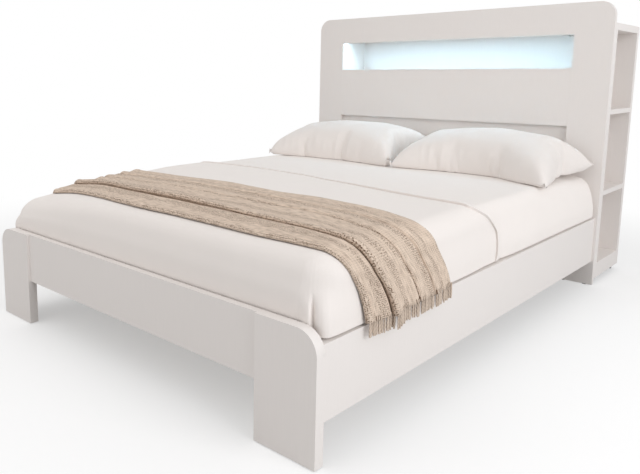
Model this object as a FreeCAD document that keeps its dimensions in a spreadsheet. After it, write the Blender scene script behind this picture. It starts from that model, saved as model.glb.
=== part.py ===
import FreeCAD, Part
import math
import os
import re

import Sketcher

# Storage headboard bed: a panel bed for a queen mattress whose headboard is a cabinet, with a lit niche
# across the front and an open shelf tower at each end, dressed with a mattress and its bedding.
# Frame: +Z up, the bed's foot towards -Y, the headboard towards +Y, +X to the right for someone who
# stands at the foot. The origin is on the floor, at the middle of the whole bed.

# Driving sizes in millimetres. Names that end in count or share are plain numbers.
SIZES = {
    # mattress, net of the bedding around it, and the room that the frame leaves it
    "mattress_width": 1514,
    "mattress_length": 2022,
    "mattress_height": 260,
    "mattress_corner_radius": 55,
    "mattress_edge_radius": 40,
    "side_gap": 11,
    "foot_gap": 22,
    "head_gap": 3,
    # footboard
    "leg_width": 204,
    "leg_thickness": 33,
    "footboard_height": 357,
    "footboard_panel_thickness": 23,
    "corner_radius": 65,
    # side rails
    "rail_thickness": 26,
    "rail_height": 205,
    "rail_top": 318,
    "rail_setback": 6,
    # slats, ledges and the beam under them
    "slat_count": 13,
    "slat_drop": 56,
    "slat_thickness": 18,
    "slat_width": 70,
    "slat_end_gap": 4,
    "slat_margin": 45,
    "ledge_width": 25,
    "ledge_height": 30,
    "strap_width": 16,
    "strap_thickness": 1.2,
    "strap_inset_share": 0.56,
    "beam_width": 60,
    "beam_height": 60,
    "beam_end_gap": 1,
    "centre_leg_size": 50,
    "hanger_plate": 3,
    "hanger_reach": 42,
    "hanger_height": 45,
    "hanger_wing": 26,
    "hanger_margin": 10,
    # glides and feet
    "glide_radius": 10.5,
    "glide_height": 3,
    "glide_inset": 34,
    "foot_radius": 14,
    # rail brackets and fasteners
    "bracket_plate": 3,
    "bracket_wing": 48,
    "bracket_drop": 12,
    "bracket_lift": 9,
    "bolt_radius": 4,
    "bolt_depth": 16,
    "bolt_head_radius": 7.5,
    "bolt_head_height": 5.5,
    "screw_radius": 2.25,
    "screw_depth": 14,
    "screw_head_radius": 4.5,
    "screw_head_height": 2.5,
    "hole_clearance": 0.4,
    # headboard front
    "headboard_height": 1292,
    "headboard_overhang": 5,
    "headboard_depth": 395,
    "front_thickness": 22,
    "post_width": 165,
    "window_height": 152,
    "middle_panel_height": 266,
    "lower_panel_thickness": 16,
    "lower_panel_lap": 30,
    # headboard carcass and its towers
    "carcass_drop": 94,
    "carcass_bottom": 28,
    "board_thickness": 18,
    "top_board_thickness": 32,
    "ceiling_lap": 14,
    "upright_thickness": 30,
    "shelf_thickness": 22,
    "back_thickness": 12,
    "tower_floor_top": 100,
    "lower_shelf_share": 0.32,
    "upper_shelf_share": 0.67,
    "dowel_radius": 4,
    "dowel_reach": 14,
    "dowel_inset": 35,
    "dowel_slack": 0.25,
    # niche and what is in it
    "niche_depth": 200,
    "channel_width": 14,
    "channel_height": 10,
    "channel_wall": 1.2,
    "channel_setback": 3,
    "light_strip_thickness": 1.2,
    "driver_length": 160,
    "driver_width": 50,
    "driver_height": 28,
    "driver_setback": 16,
    "driver_inset": 50,
    "lead_radius": 2,
    "lead_inset": 90,
    "outlet_length": 116,
    "outlet_width": 50,
    "outlet_plate": 3,
    "outlet_rim": 5,
    "outlet_depth": 38,
    "outlet_inset": 66,
    "outlet_fit": 0.5,
    "outlet_slot_length": 13,
    "outlet_slot_width": 6,
    "outlet_blade_width": 3,
    "inlet_length": 50,
    "inlet_height": 30,
    "inlet_flange": 2.5,
    "inlet_rim": 4,
    "inlet_depth": 26,
    "inlet_recess": 17,
    "inlet_level": 240,
    "pin_width": 2,
    "pin_height": 4,
    "pin_spacing": 7,
    # bedding
    "soft_gap": 0.3,
    "sheet_thickness": 1.5,
    "cover_thickness": 10,
    "cover_tuck_thickness": 5.5,
    "cover_side_reach": 27,
    "cover_hem_lift": 8,
    "cover_length": 1077,
    "cover_edge_radius": 62,
    "pillow_length": 752,
    "pillow_depth": 486,
    "pillow_crown": 160,
    "pillow_belly": 62,
    "pillow_gap": 5,
    "pillow_head_gap": 12,
    "pillow_side_pull": 13,
    "pillow_corner_radius": 30,
    "pillow_front_lift": 18,
    "pillow_tilt_share": 0.07,
    "throw_width": 600,
    "throw_hem_width": 450,
    "throw_hem_shift": 20,
    "throw_from_foot": 47,
    "throw_base": 6,
    "throw_ridge": 15,
    "throw_hem_ridge": 9,
    "throw_ridge_count": 5,
    "throw_side_gap": 3,
    "throw_hem_drop": 34,
    # cuts run past the faces that they open
    "overrun": 5,
}

# Places that several pieces share, as formulas in the sizes above and in each other.
PLACES = {
    "mattress_side": "mattress_width / 2",
    "rail_inside": "mattress_side + side_gap",
    "rail_outside": "rail_inside + rail_thickness",
    "rail_bottom": "rail_top - rail_height",
    "leg_outside": "rail_outside + rail_setback",
    "leg_inside": "leg_outside - leg_width",
    "bed_length": "leg_thickness + foot_gap + mattress_length + head_gap",
    "back_face": "(bed_length + headboard_depth) / 2",
    "head_face": "back_face - headboard_depth",
    "foot_face": "head_face - bed_length",
    "foot_inside": "foot_face + leg_thickness",
    "slat_top": "rail_top - slat_drop",
    "slat_bottom": "slat_top - slat_thickness",
    "slat_end": "rail_inside - slat_end_gap",
    "beam_bottom": "slat_bottom - beam_height",
    "beam_side": "beam_width / 2",
    "footboard_panel_bottom": "beam_bottom - hanger_plate - hanger_margin",
    "bracket_top": "slat_bottom - ledge_height - bracket_drop",
    "bracket_bottom": "rail_bottom + bracket_lift",
    "head_outside": "leg_outside + headboard_overhang",
    "post_inside": "head_outside - post_width",
    "partition_outside": "post_inside + board_thickness",
    "carcass_face": "head_face + front_thickness",
    "lower_panel_face": "carcass_face",
    "lower_panel_back": "carcass_face + lower_panel_thickness",
    "front_upright_back": "carcass_face + upright_thickness",
    "back_upright_front": "back_face - upright_thickness",
    "back_panel_front": "back_face - back_thickness",
    "carcass_height": "headboard_height - carcass_drop",
    "ceiling": "carcass_height - top_board_thickness",
    "window_top": "ceiling - ceiling_lap",
    "window_bottom": "window_top - window_height",
    "recess_top": "window_bottom - middle_panel_height",
    "upper_shelf_top": "tower_floor_top + (ceiling - tower_floor_top) * upper_shelf_share",
    "lower_shelf_top": "tower_floor_top + (ceiling - tower_floor_top) * lower_shelf_share",
    "niche_back_face": "carcass_face + niche_depth",
    "channel_front": "carcass_face + channel_setback",
    "channel_back": "channel_front + channel_width",
    "driver_front": "niche_back_face + back_thickness + driver_setback",
    "lead_side": "post_inside - lead_inset",
    "lead_level": "ceiling - channel_height / 2",
    "outlet_right": "post_inside - outlet_inset",
    "outlet_left": "outlet_right - outlet_length",
    "outlet_middle": "(carcass_face + niche_back_face) / 2",
    "outlet_front": "outlet_middle - outlet_width / 2",
    "outlet_back": "outlet_middle + outlet_width / 2",
    "mattress_foot": "head_face - head_gap - mattress_length",
    "mattress_head": "head_face - head_gap",
    "mattress_bottom": "slat_top + soft_gap",
    "mattress_top": "mattress_bottom + mattress_height",
    "sheet_room": "soft_gap + sheet_thickness",
    "cover_room": "sheet_room + soft_gap",
    "cover_top": "mattress_top + cover_room + cover_thickness",
    "cover_side": "mattress_side + cover_side_reach",
    "cover_foot": "mattress_foot - cover_room - cover_tuck_thickness",
    "cover_hem": "slat_top + cover_hem_lift",
    "cover_rest": "rail_top + soft_gap",
    "cover_head": "cover_foot + cover_length",
}

document = FreeCAD.newDocument("storage_headboard_bed")
sheet = document.addObject("Spreadsheet::Sheet", "Sizes")
for row, (alias, size) in enumerate(SIZES.items(), start=1):
    sheet.set(f"A{row}", alias.replace("_", " "))
    sheet.set(f"B{row}", str(size))
    sheet.setAlias(f"B{row}", alias)
document.recompute()

nodes = []


def in_sheet(formula):
    """Write a formula out in the sheet's cells: a place becomes its own formula, a size its cell."""

    def replace(match):
        word = match.group(0)
        if word in PLACES:
            return f"({in_sheet(PLACES[word])})"
        return f"Sizes.{word}"

    return re.sub(r"[a-z]+(?:_[a-z]+)+|overrun|ceiling", replace, formula)


def value(formula):
    """The number that a formula gives with the sheet's sizes."""
    return float(sheet.evalExpression(in_sheet(formula)))


def bind(target, **formulas):
    """Bind an object's properties to formulas. Double underscores stand for the dots of a path."""
    for path, formula in formulas.items():
        target.setExpression(path.replace("__", "."), in_sheet(formula))


def keep(target, label):
    """Name an object as a piece that is written to its own file."""
    target.Label = label
    nodes.append(target)
    return target


def mirrored(side, span):
    """A span along X as it is on the right (side 1), or its mirror on the left (side -1)."""
    low, high = span
    return span if side > 0 else (f"-({high})", f"-({low})")


def block(name, x, y, z):
    """A box between three pairs of formulas, its low and high faces along each axis."""
    box = document.addObject("Part::Box", name)
    bind(
        box,
        Length=f"({x[1]}) - ({x[0]})",
        Width=f"({y[1]}) - ({y[0]})",
        Height=f"({z[1]}) - ({z[0]})",
        Placement__Base__x=x[0],
        Placement__Base__y=y[0],
        Placement__Base__z=z[0],
    )
    return box


def board(label, x, y, z):
    return keep(block(label, x, y, z), label)


def stand(target, axis, start, across):
    """Turn a round or many-sided bar along an axis, its start and its middle line at formulas."""
    turns = {"x": (0, 90, 0), "y": (0, 0, -90), "z": (0, 0, 0)}
    target.Placement = FreeCAD.Placement(FreeCAD.Vector(), FreeCAD.Rotation(*turns[axis]))
    places = list(across)
    places.insert("xyz".index(axis), start)
    bind(target, Placement__Base__x=places[0], Placement__Base__y=places[1], Placement__Base__z=places[2])


def rod(name, axis, span, across, radius):
    """A round bar along axis ("x", "y" or "z") over a span, at two formulas for the other axes."""
    bar = document.addObject("Part::Cylinder", name)
    bind(bar, Radius=radius, Height=f"({span[1]}) - ({span[0]})")
    stand(bar, axis, span[0], across)
    return bar


def hexagon(name, axis, span, across, radius):
    """A six-sided bar, placed as a rod is, with the radius of its corners."""
    bar = document.addObject("Part::Prism", name)
    bar.Polygon = 6
    bind(bar, Circumradius=radius, Height=f"({span[1]}) - ({span[0]})")
    stand(bar, axis, span[0], across)
    return bar


def fuse(name, shapes):
    joined = document.addObject("Part::MultiFuse", name)
    joined.Shapes = shapes
    return joined


def cut(name, base, tools):
    """The base without its tools, which are gathered first when there are several."""
    result = document.addObject("Part::Cut", name)
    result.Base = base
    result.Tool = tools[0] if len(tools) == 1 else group(f"{name}_tools", tools)
    return result


def group(name, members):
    gathered = document.addObject("Part::Compound", name)
    gathered.Links = members
    return gathered


def origin_plane(body, role):
    return next(feature for feature in body.Origin.OriginFeatures if feature.Role == role)


def corner_board(name, side, width, height, thickness, place):
    """An upright board, seen from the foot, whose top corner on the outer side is round.

    Its outline starts at the inner bottom corner. The side is 1 for a board whose outer edge is on
    the right and -1 for its mirror.
    """
    body = document.addObject("PartDesign::Body", name)
    outline = body.newObject("Sketcher::SketchObject", f"{name}_outline")
    outline.AttachmentSupport = [(origin_plane(body, "XZ_Plane"), "")]
    outline.MapMode = "FlatFace"
    wide, high, radius = value(width), value(height), value("corner_radius")
    inner_bottom = FreeCAD.Vector()
    outer_bottom = FreeCAD.Vector(side * wide, 0)
    arc_start = FreeCAD.Vector(side * wide, high - radius)
    arc_centre = FreeCAD.Vector(side * (wide - radius), high - radius)
    arc_middle = arc_centre + FreeCAD.Vector(side, 1).normalize() * radius
    arc_end = FreeCAD.Vector(side * (wide - radius), high)
    inner_top = FreeCAD.Vector(0, high)
    bottom, outer, arc, top, inner = range(5)
    outline.addGeometry(
        [
            Part.LineSegment(inner_bottom, outer_bottom),
            Part.LineSegment(outer_bottom, arc_start),
            Part.Arc(arc_start, arc_middle, arc_end),
            Part.LineSegment(arc_end, inner_top),
            Part.LineSegment(inner_top, inner_bottom),
        ],
        False,
    )
    start, end, origin = 1, 2, -1
    arc_low, arc_high = (start, end) if side > 0 else (end, start)
    constraint = Sketcher.Constraint
    outline.addConstraint(
        [
            constraint("Coincident", bottom, start, origin, start),
            constraint("Coincident", bottom, end, outer, start),
            constraint("Coincident", top, end, inner, start),
            constraint("Coincident", inner, end, bottom, start),
            constraint("Tangent", outer, end, arc, arc_low),
            constraint("Tangent", arc, arc_high, top, start),
            constraint("Horizontal", bottom),
            constraint("Vertical", outer),
            constraint("Horizontal", top),
            constraint("Vertical", inner),
        ]
    )
    left_end, right_end = (start, end) if side > 0 else (end, start)
    sizes = {
        "width": constraint("DistanceX", bottom, left_end, bottom, right_end, wide),
        "height": constraint("DistanceY", inner, end, inner, start, high),
        "radius": constraint("Radius", arc, radius),
    }
    for size_name, size_constraint in sizes.items():
        outline.renameConstraint(outline.addConstraint(size_constraint), size_name)
    bind(outline, Constraints__width=width, Constraints__height=height, Constraints__radius="corner_radius")
    pad = body.newObject("PartDesign::Pad", f"{name}_pad")
    pad.Profile = outline
    pad.Reversed = True
    bind(pad, Length=thickness)
    bind(body, Placement__Base__x=place[0], Placement__Base__y=place[1], Placement__Base__z=place[2])
    return body


def fastener(name, kind, axis, into, face, plate, across):
    """A bolt or a screw whose head lies on a face, driven along +axis (into 1) or -axis (into -1).

    Its shank goes through a plate and on to the depth of its kind.
    """
    depth = f"({kind}_depth + {plate})"
    if into > 0:
        shank_span = (face, f"{face} + {depth}")
        head_span = (f"{face} - {kind}_head_height", face)
    else:
        shank_span = (f"{face} - {depth}", face)
        head_span = (face, f"{face} + {kind}_head_height")
    shank = rod(f"{name}_shank", axis, shank_span, across, f"{kind}_radius")
    make_head = hexagon if kind == "bolt" else rod
    head = make_head(f"{name}_head", axis, head_span, across, f"{kind}_head_radius")
    return fuse(name, [shank, head])


def hole(name, kind, axis, span, across):
    """The clearance hole of a bolt or a screw."""
    return rod(name, axis, span, across, f"{kind}_radius + hole_clearance")


# Fastener places that the boards, the brackets and the hangers share.
SIDES = {"left": -1, "right": 1}
BRACKET_LEVEL_SHARES = {"upper": 0.775, "lower": 0.225}
BRACKET_SCREW_PLACES = {
    "foot": "foot_inside + bracket_wing / 2",
    "head": "head_face - bracket_wing / 2",
}
HANGER_SCREW_SHARES = (0.25, 0.75)


def bracket_levels():
    """The two heights at which a bracket is fastened."""
    return {
        level: f"bracket_bottom + (bracket_top - bracket_bottom) * {share}"
        for level, share in BRACKET_LEVEL_SHARES.items()
    }


def bracket_bolt_places(side):
    """The two bolt places of a bracket on the panel that the rail butts against, as X and Z."""
    across = f"{side} * (rail_inside - bracket_wing / 2)"
    return {level: (across, height) for level, height in bracket_levels().items()}


def bracket_screw_places(end):
    """The two screw places of a bracket on the rail, as Y and Z."""
    return {level: (BRACKET_SCREW_PLACES[end], height) for level, height in bracket_levels().items()}


def hanger_screw_places():
    """The four screw places of a beam hanger, as X and Z."""
    wing_middle = "(beam_side + hanger_plate + hanger_wing / 2)"
    foot = "beam_bottom - hanger_plate"
    return [
        (f"{side} * {wing_middle}", f"{foot} + hanger_height * {share}")
        for side in (-1, 1)
        for share in HANGER_SCREW_SHARES
    ]


# Footboard: two leg panels and a cross panel between them, flush at the back.
def make_footboard():
    for word, side in SIDES.items():
        label = f"footboard_leg_{word}"
        place = (f"{side} * leg_inside", "foot_face", "glide_height")
        blank = corner_board(
            f"{label}_blank", side, "leg_width", "footboard_height - glide_height", "leg_thickness", place
        )
        span = ("foot_inside - bolt_depth - hole_clearance", "foot_inside + overrun")
        holes = [
            hole(f"{label}_{level}_hole", "bolt", "y", span, across)
            for level, across in bracket_bolt_places(side).items()
        ]
        keep(cut(label, blank, holes), label)
    panel = block(
        "footboard_panel_blank",
        ("-(leg_inside)", "leg_inside"),
        ("foot_inside - footboard_panel_thickness", "foot_inside"),
        ("footboard_panel_bottom", "footboard_height"),
    )
    span = ("foot_inside - screw_depth - hole_clearance", "foot_inside + overrun")
    holes = [
        hole(f"footboard_panel_hole_{number}", "screw", "y", span, across)
        for number, across in enumerate(hanger_screw_places())
    ]
    keep(cut("footboard_panel", panel, holes), "footboard_panel")


# Side rails with the ledges that carry the slats.
def make_rails():
    along = ("foot_inside", "head_face")
    for word, side in SIDES.items():
        label = f"side_rail_{word}"
        across = mirrored(side, ("rail_inside", "rail_outside"))
        rail = block(f"{label}_blank", across, along, ("rail_bottom", "rail_top"))
        span = mirrored(side, ("rail_inside - overrun", "rail_inside + screw_depth + hole_clearance"))
        holes = [
            hole(f"{label}_{end}_{level}_hole", "screw", "x", span, place)
            for end in BRACKET_SCREW_PLACES
            for level, place in bracket_screw_places(end).items()
        ]
        keep(cut(label, rail, holes), label)
        board(
            f"slat_ledge_{word}",
            mirrored(side, ("rail_inside - ledge_width", "rail_inside")),
            along,
            ("slat_bottom - ledge_height", "slat_bottom"),
        )


# Corner brackets: an angle of steel plate in each corner under the slat ledge, bolted to the leg panel or
# post and screwed to the rail.
def make_brackets():
    brackets, bolts, screws = [], [], []
    ends = {
        "foot": (-1, "foot_inside + bracket_plate", "foot_inside", "foot_inside + bracket_wing"),
        "head": (1, "head_face - bracket_plate", "head_face - bracket_wing", "head_face"),
    }
    height = ("bracket_bottom", "bracket_top")
    for word, side in SIDES.items():
        rail_plate = mirrored(side, ("rail_inside - bracket_plate", "rail_inside"))
        panel_wing = mirrored(side, ("rail_inside - bracket_wing", "rail_inside"))
        through_rail_plate = (f"{rail_plate[0]} - overrun", f"{rail_plate[1]} + overrun")
        for end, (into, bolt_face, wing_start, wing_end) in ends.items():
            name = f"bracket_{end}_{word}"
            if into < 0:
                panel_plate = (wing_start, bolt_face)
            else:
                panel_plate = (bolt_face, wing_end)
            through_panel_plate = (f"{panel_plate[0]} - overrun", f"{panel_plate[1]} + overrun")
            on_panel = block(f"{name}_panel_wing", panel_wing, panel_plate, height)
            on_rail = block(f"{name}_rail_wing", rail_plate, (wing_start, wing_end), height)
            holes = []
            for level, place in bracket_bolt_places(side).items():
                bolt_name = f"{name}_{level}_bolt"
                holes.append(hole(f"{bolt_name}_hole", "bolt", "y", through_panel_plate, place))
                bolts.append(fastener(bolt_name, "bolt", "y", into, bolt_face, "bracket_plate", place))
            for level, place in bracket_screw_places(end).items():
                screw_name = f"{name}_{level}_screw"
                screw_face = f"{side} * (rail_inside - bracket_plate)"
                holes.append(hole(f"{screw_name}_hole", "screw", "x", through_rail_plate, place))
                screws.append(fastener(screw_name, "screw", "x", side, screw_face, "bracket_plate", place))
            brackets.append(cut(name, fuse(f"{name}_angle", [on_panel, on_rail]), holes))
    keep(group("rail_brackets", brackets), "rail_brackets")
    keep(group("rail_bolts", bolts), "rail_bolts")
    keep(group("rail_screws", screws), "rail_screws")


# Slats across the ledges and the beam, held apart by two webbing straps stapled under them.
def slat_place(number):
    """The middle of a slat along Y, counted from the foot."""
    first = "(foot_inside + slat_margin + slat_width / 2)"
    last = "(head_face - slat_margin - slat_width / 2)"
    return f"{first} + ({last} - {first}) * {number} / (slat_count - 1)"


def make_slats():
    slats = []
    for number in range(int(value("slat_count"))):
        middle = slat_place(number)
        slats.append(
            block(
                f"slat_{number + 1}",
                ("-(slat_end)", "slat_end"),
                (f"{middle} - slat_width / 2", f"{middle} + slat_width / 2"),
                ("slat_bottom", "slat_top"),
            )
        )
    keep(group("slats", slats), "slats")
    first, last = slat_place(0), slat_place("(slat_count - 1)")
    straps = []
    for word, side in SIDES.items():
        middle = f"{side} * slat_end * strap_inset_share"
        straps.append(
            block(
                f"slat_strap_{word}",
                (f"{middle} - strap_width / 2", f"{middle} + strap_width / 2"),
                (f"{first} - slat_width / 2", f"{last} + slat_width / 2"),
                ("slat_bottom - strap_thickness", "slat_bottom"),
            )
        )
    keep(group("slat_straps", straps), "slat_straps")


# Centre beam in its two hangers, on three legs.
CENTRE_LEG_SHARES = {"foot": 0.17, "middle": 0.5, "head": 0.83}


def centre_leg_places():
    """The middles of the centre legs along Y."""
    return {
        word: f"foot_inside + (head_face - foot_inside) * {share}"
        for word, share in CENTRE_LEG_SHARES.items()
    }


def make_centre_support():
    beam = ("-(beam_side)", "beam_side")
    beam_start = "foot_inside + hanger_plate + beam_end_gap"
    beam_end = "lower_panel_face - hanger_plate - beam_end_gap"
    board("centre_beam", beam, (beam_start, beam_end), ("beam_bottom", "slat_bottom"))
    cheeks = ("-(beam_side + hanger_plate)", "beam_side + hanger_plate")
    wings = ("-(beam_side + hanger_plate + hanger_wing)", "beam_side + hanger_plate + hanger_wing")
    height = ("beam_bottom - hanger_plate", "beam_bottom - hanger_plate + hanger_height")
    spans = {
        "foot": (-1, "foot_inside", "foot_inside + hanger_plate", "foot_inside + hanger_reach"),
        "head": (1, "lower_panel_face", "lower_panel_face - hanger_plate", "lower_panel_face - hanger_reach"),
    }
    screws = []
    for end, (into, face, plate_face, mouth) in spans.items():
        name = f"beam_hanger_{end}"
        if into < 0:
            shoe_span, plate_span = (face, mouth), (face, plate_face)
            pocket_span = (plate_face, f"{mouth} + overrun")
        else:
            shoe_span, plate_span = (mouth, face), (plate_face, face)
            pocket_span = (f"{mouth} - overrun", plate_face)
        shoe = block(f"{name}_shoe", cheeks, shoe_span, height)
        plate = block(f"{name}_plate", wings, plate_span, height)
        pocket_height = ("beam_bottom", "beam_bottom + hanger_height + overrun")
        tools = [block(f"{name}_pocket", beam, pocket_span, pocket_height)]
        through_plate = (f"{plate_span[0]} - overrun", f"{plate_span[1]} + overrun")
        for number, place in enumerate(hanger_screw_places()):
            screw_name = f"{name}_screw_{number}"
            tools.append(hole(f"{screw_name}_hole", "screw", "y", through_plate, place))
            screws.append(fastener(screw_name, "screw", "y", into, plate_face, "hanger_plate", place))
        keep(cut(name, fuse(f"{name}_blank", [shoe, plate]), tools), name)
    keep(group("hanger_screws", screws), "hanger_screws")
    for word, middle in centre_leg_places().items():
        board(
            f"centre_leg_{word}",
            ("-centre_leg_size / 2", "centre_leg_size / 2"),
            (f"{middle} - centre_leg_size / 2", f"{middle} + centre_leg_size / 2"),
            ("glide_height", "beam_bottom"),
        )


# Floor glides under the leg panels, the posts and the centre legs, and feet under the headboard carcass.
MIDDLE_FOOT_SHARE = 0.33


def make_floor_contacts():
    places = [("0", middle) for middle in centre_leg_places().values()]
    for side in (-1, 1):
        for outer, inner, middle in (
            ("leg_outside", "leg_inside", "foot_face + leg_thickness / 2"),
            ("head_outside", "post_inside", "head_face + front_thickness / 2"),
        ):
            places.append((f"{side} * ({outer} - glide_inset)", middle))
            places.append((f"{side} * ({inner} + glide_inset)", middle))
    glides = [
        rod(f"glide_{number}", "z", ("0", "glide_height"), place, "glide_radius")
        for number, place in enumerate(places)
    ]
    keep(group("floor_glides", glides), "floor_glides")
    back = "back_face - upright_thickness / 2"
    beside_back = "back_panel_front - foot_radius * 2"
    feet_places = [(f"{side} * (head_outside - glide_inset)", back) for side in (-1, 1)]
    feet_places += [(f"{side} * (partition_outside + glide_inset)", back) for side in (-1, 1)]
    feet_places += [(f"{side} * post_inside * {MIDDLE_FOOT_SHARE}", beside_back) for side in (-1, 1)]
    feet = [
        rod(f"foot_{number}", "z", ("0", "carcass_bottom"), place, "foot_radius")
        for number, place in enumerate(feet_places)
    ]
    keep(group("headboard_feet", feet), "headboard_feet")


# Headboard front: two posts with a top rail, a middle panel and a recessed lower panel between them.
def make_headboard_front():
    for word, side in SIDES.items():
        label = f"headboard_post_{word}"
        place = (f"{side} * post_inside", "head_face", "glide_height")
        blank = corner_board(
            f"{label}_blank", side, "post_width", "headboard_height - glide_height", "front_thickness", place
        )
        span = ("head_face - overrun", "head_face + bolt_depth + hole_clearance")
        holes = [
            hole(f"{label}_{level}_hole", "bolt", "y", span, across)
            for level, across in bracket_bolt_places(side).items()
        ]
        keep(cut(label, blank, holes), label)
    between = ("-(post_inside)", "post_inside")
    front = ("head_face", "carcass_face")
    board("headboard_top_rail", between, front, ("window_top", "headboard_height"))
    board("headboard_middle_panel", between, front, ("recess_top", "window_bottom"))
    panel = block("headboard_lower_panel_blank", between, ("lower_panel_face", "lower_panel_back"),
                  ("carcass_bottom", "recess_top + lower_panel_lap"))
    span = ("lower_panel_face - overrun", "lower_panel_face + screw_depth + hole_clearance")
    holes = [
        hole(f"headboard_lower_panel_hole_{number}", "screw", "y", span, place)
        for number, place in enumerate(hanger_screw_places())
    ]
    keep(cut("headboard_lower_panel", panel, holes), "headboard_lower_panel")


# Headboard carcass: partitions behind the posts, boards between them, a top board over all.
def make_carcass():
    behind_front = ("carcass_face", "back_face")
    between = ("-(post_inside)", "post_inside")
    board("headboard_top_board", ("-(head_outside)", "head_outside"), behind_front,
          ("ceiling", "carcass_height"))
    board("headboard_bottom_board", between, ("lower_panel_back", "back_panel_front"),
          ("carcass_bottom", "carcass_bottom + board_thickness"))
    for word, side in SIDES.items():
        board(f"tower_partition_{word}", mirrored(side, ("post_inside", "partition_outside")), behind_front,
              ("carcass_bottom", "ceiling"))
    back = block("headboard_back_panel_blank", between, ("back_panel_front", "back_face"),
                 ("carcass_bottom", "ceiling"))
    opening = inlet_block("power_inlet_opening", "outlet_fit",
                          ("back_panel_front - overrun", "back_face + overrun"))
    rebate = inlet_block("power_inlet_rebate", "inlet_rim + outlet_fit",
                         ("back_face - inlet_flange", "back_face + overrun"))
    keep(cut("headboard_back_panel", back, [opening, rebate]), "headboard_back_panel")


def inlet_block(name, margin, depth):
    """A block round the middle of the power inlet, larger than its shell by a margin on each side."""
    return block(
        name,
        (f"-inlet_length / 2 - ({margin})", f"inlet_length / 2 + {margin}"),
        depth,
        (f"inlet_level - inlet_height / 2 - ({margin})", f"inlet_level + inlet_height / 2 + {margin}"),
    )


def dowel_places():
    """Where the dowels of a tower's boards stand along X, right side."""
    return {
        "inner": "partition_outside + dowel_inset",
        "outer": "head_outside - dowel_inset",
    }


def tower_boards():
    """The three boards of a tower that dowels hold, with their low and high faces."""
    return {
        "floor": ("tower_floor_top - board_thickness", "tower_floor_top"),
        "lower_shelf": ("lower_shelf_top - shelf_thickness", "lower_shelf_top"),
        "upper_shelf": ("upper_shelf_top - shelf_thickness", "upper_shelf_top"),
    }


# Shelf towers: three cubbies at each end of the headboard, open to the side.
def make_towers():
    dowels = []
    uprights = {
        "front": ("front_upright_back", ("carcass_face", "front_upright_back")),
        "back": ("back_upright_front", ("back_upright_front", "back_face")),
    }
    for word, side in SIDES.items():
        holes = {}
        for board_name, (low, high) in tower_boards().items():
            for upright, (face, _) in uprights.items():
                for column, place in dowel_places().items():
                    name = f"{board_name}_{upright}_{column}_{word}"
                    across = (f"{side} * ({place})", f"({low} + {high}) / 2")
                    ends = (f"{face} - dowel_reach", f"{face} + dowel_reach")
                    room = (f"{ends[0]} - dowel_slack", f"{ends[1]} + dowel_slack")
                    dowels.append(rod(f"dowel_{name}", "y", ends, across, "dowel_radius"))
                    holes[board_name, upright, column] = rod(
                        f"dowel_hole_{name}", "y", room, across, "dowel_radius + dowel_slack"
                    )
        for upright, (_, span) in uprights.items():
            label = f"tower_{upright}_upright_{word}"
            blank = block(f"{label}_blank", mirrored(side, ("partition_outside", "head_outside")), span,
                          ("carcass_bottom", "ceiling"))
            keep(cut(label, blank, [drilled for key, drilled in holes.items() if upright in key]), label)
        for board_name, span in tower_boards().items():
            label = f"tower_{board_name}_{word}"
            outside = "head_outside - board_thickness" if board_name == "floor" else "head_outside"
            blank = block(f"{label}_blank", mirrored(side, ("partition_outside", outside)),
                          ("front_upright_back", "back_upright_front"), span)
            keep(cut(label, blank, [drilled for key, drilled in holes.items() if board_name in key]), label)
        board(f"tower_plinth_{word}", mirrored(side, ("head_outside - board_thickness", "head_outside")),
              ("front_upright_back", "back_upright_front"), ("carcass_bottom", "tower_floor_top"))
    keep(group("shelf_dowels", dowels), "shelf_dowels")


# Niche: a floor and a back, lit by a strip in a channel behind the top rail.
def make_niche():
    between = ("-(post_inside)", "post_inside")
    floor_height = ("window_bottom - board_thickness", "window_bottom")
    floor = block("niche_floor_blank", between, ("carcass_face", "back_panel_front"), floor_height)
    opening = block(
        "power_outlet_opening",
        ("outlet_left + outlet_rim - outlet_fit", "outlet_right - outlet_rim + outlet_fit"),
        ("outlet_front + outlet_rim - outlet_fit", "outlet_back - outlet_rim + outlet_fit"),
        ("window_bottom - board_thickness - overrun", "window_bottom + overrun"),
    )
    keep(cut("niche_floor", floor, [opening]), "niche_floor")
    back = block("niche_back_blank", between, ("niche_back_face", "niche_back_face + back_thickness"),
                 ("window_bottom", "ceiling"))
    notch = block("niche_back_notch", ("lead_side - lead_radius * 2", "lead_side + lead_radius * 2"),
                  ("niche_back_face - overrun", "niche_back_face + back_thickness + overrun"),
                  ("ceiling - channel_height", "ceiling + overrun"))
    keep(cut("niche_back", back, [notch]), "niche_back")

    along = ("-(post_inside - channel_setback)", "post_inside - channel_setback")
    height = ("ceiling - channel_height", "ceiling")
    channel = block("light_channel_blank", along, ("channel_front", "channel_back"), height)
    groove = block(
        "light_channel_groove",
        ("-(post_inside)", "post_inside"),
        ("channel_front + channel_wall", "channel_back - channel_wall"),
        ("ceiling - channel_height - overrun", "ceiling - channel_wall"),
    )
    keep(cut("light_channel", channel, [groove]), "light_channel")
    inside = ("channel_front + channel_wall", "channel_back - channel_wall")
    board("light_strip", along, inside,
          ("ceiling - channel_wall - light_strip_thickness", "ceiling - channel_wall"))
    board("light_diffuser", along, inside,
          ("ceiling - channel_height", "ceiling - channel_height + channel_wall"))
    board("light_driver", ("post_inside - driver_inset - driver_length", "post_inside - driver_inset"),
          ("driver_front", "driver_front + driver_width"), ("ceiling - driver_height", "ceiling"))
    keep(rod("light_lead", "y", ("channel_back", "driver_front"), ("lead_side", "lead_level"), "lead_radius"),
         "light_lead")


# Power outlet in the niche floor, and the inlet in the back panel. The outlet has two charging slots and
# the two upright blade slots of a socket, at shares of its length.
OUTLET_SLOT_SHARES = ((0.2, False), (0.4, False), (0.65, True), (0.78, True))


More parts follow.
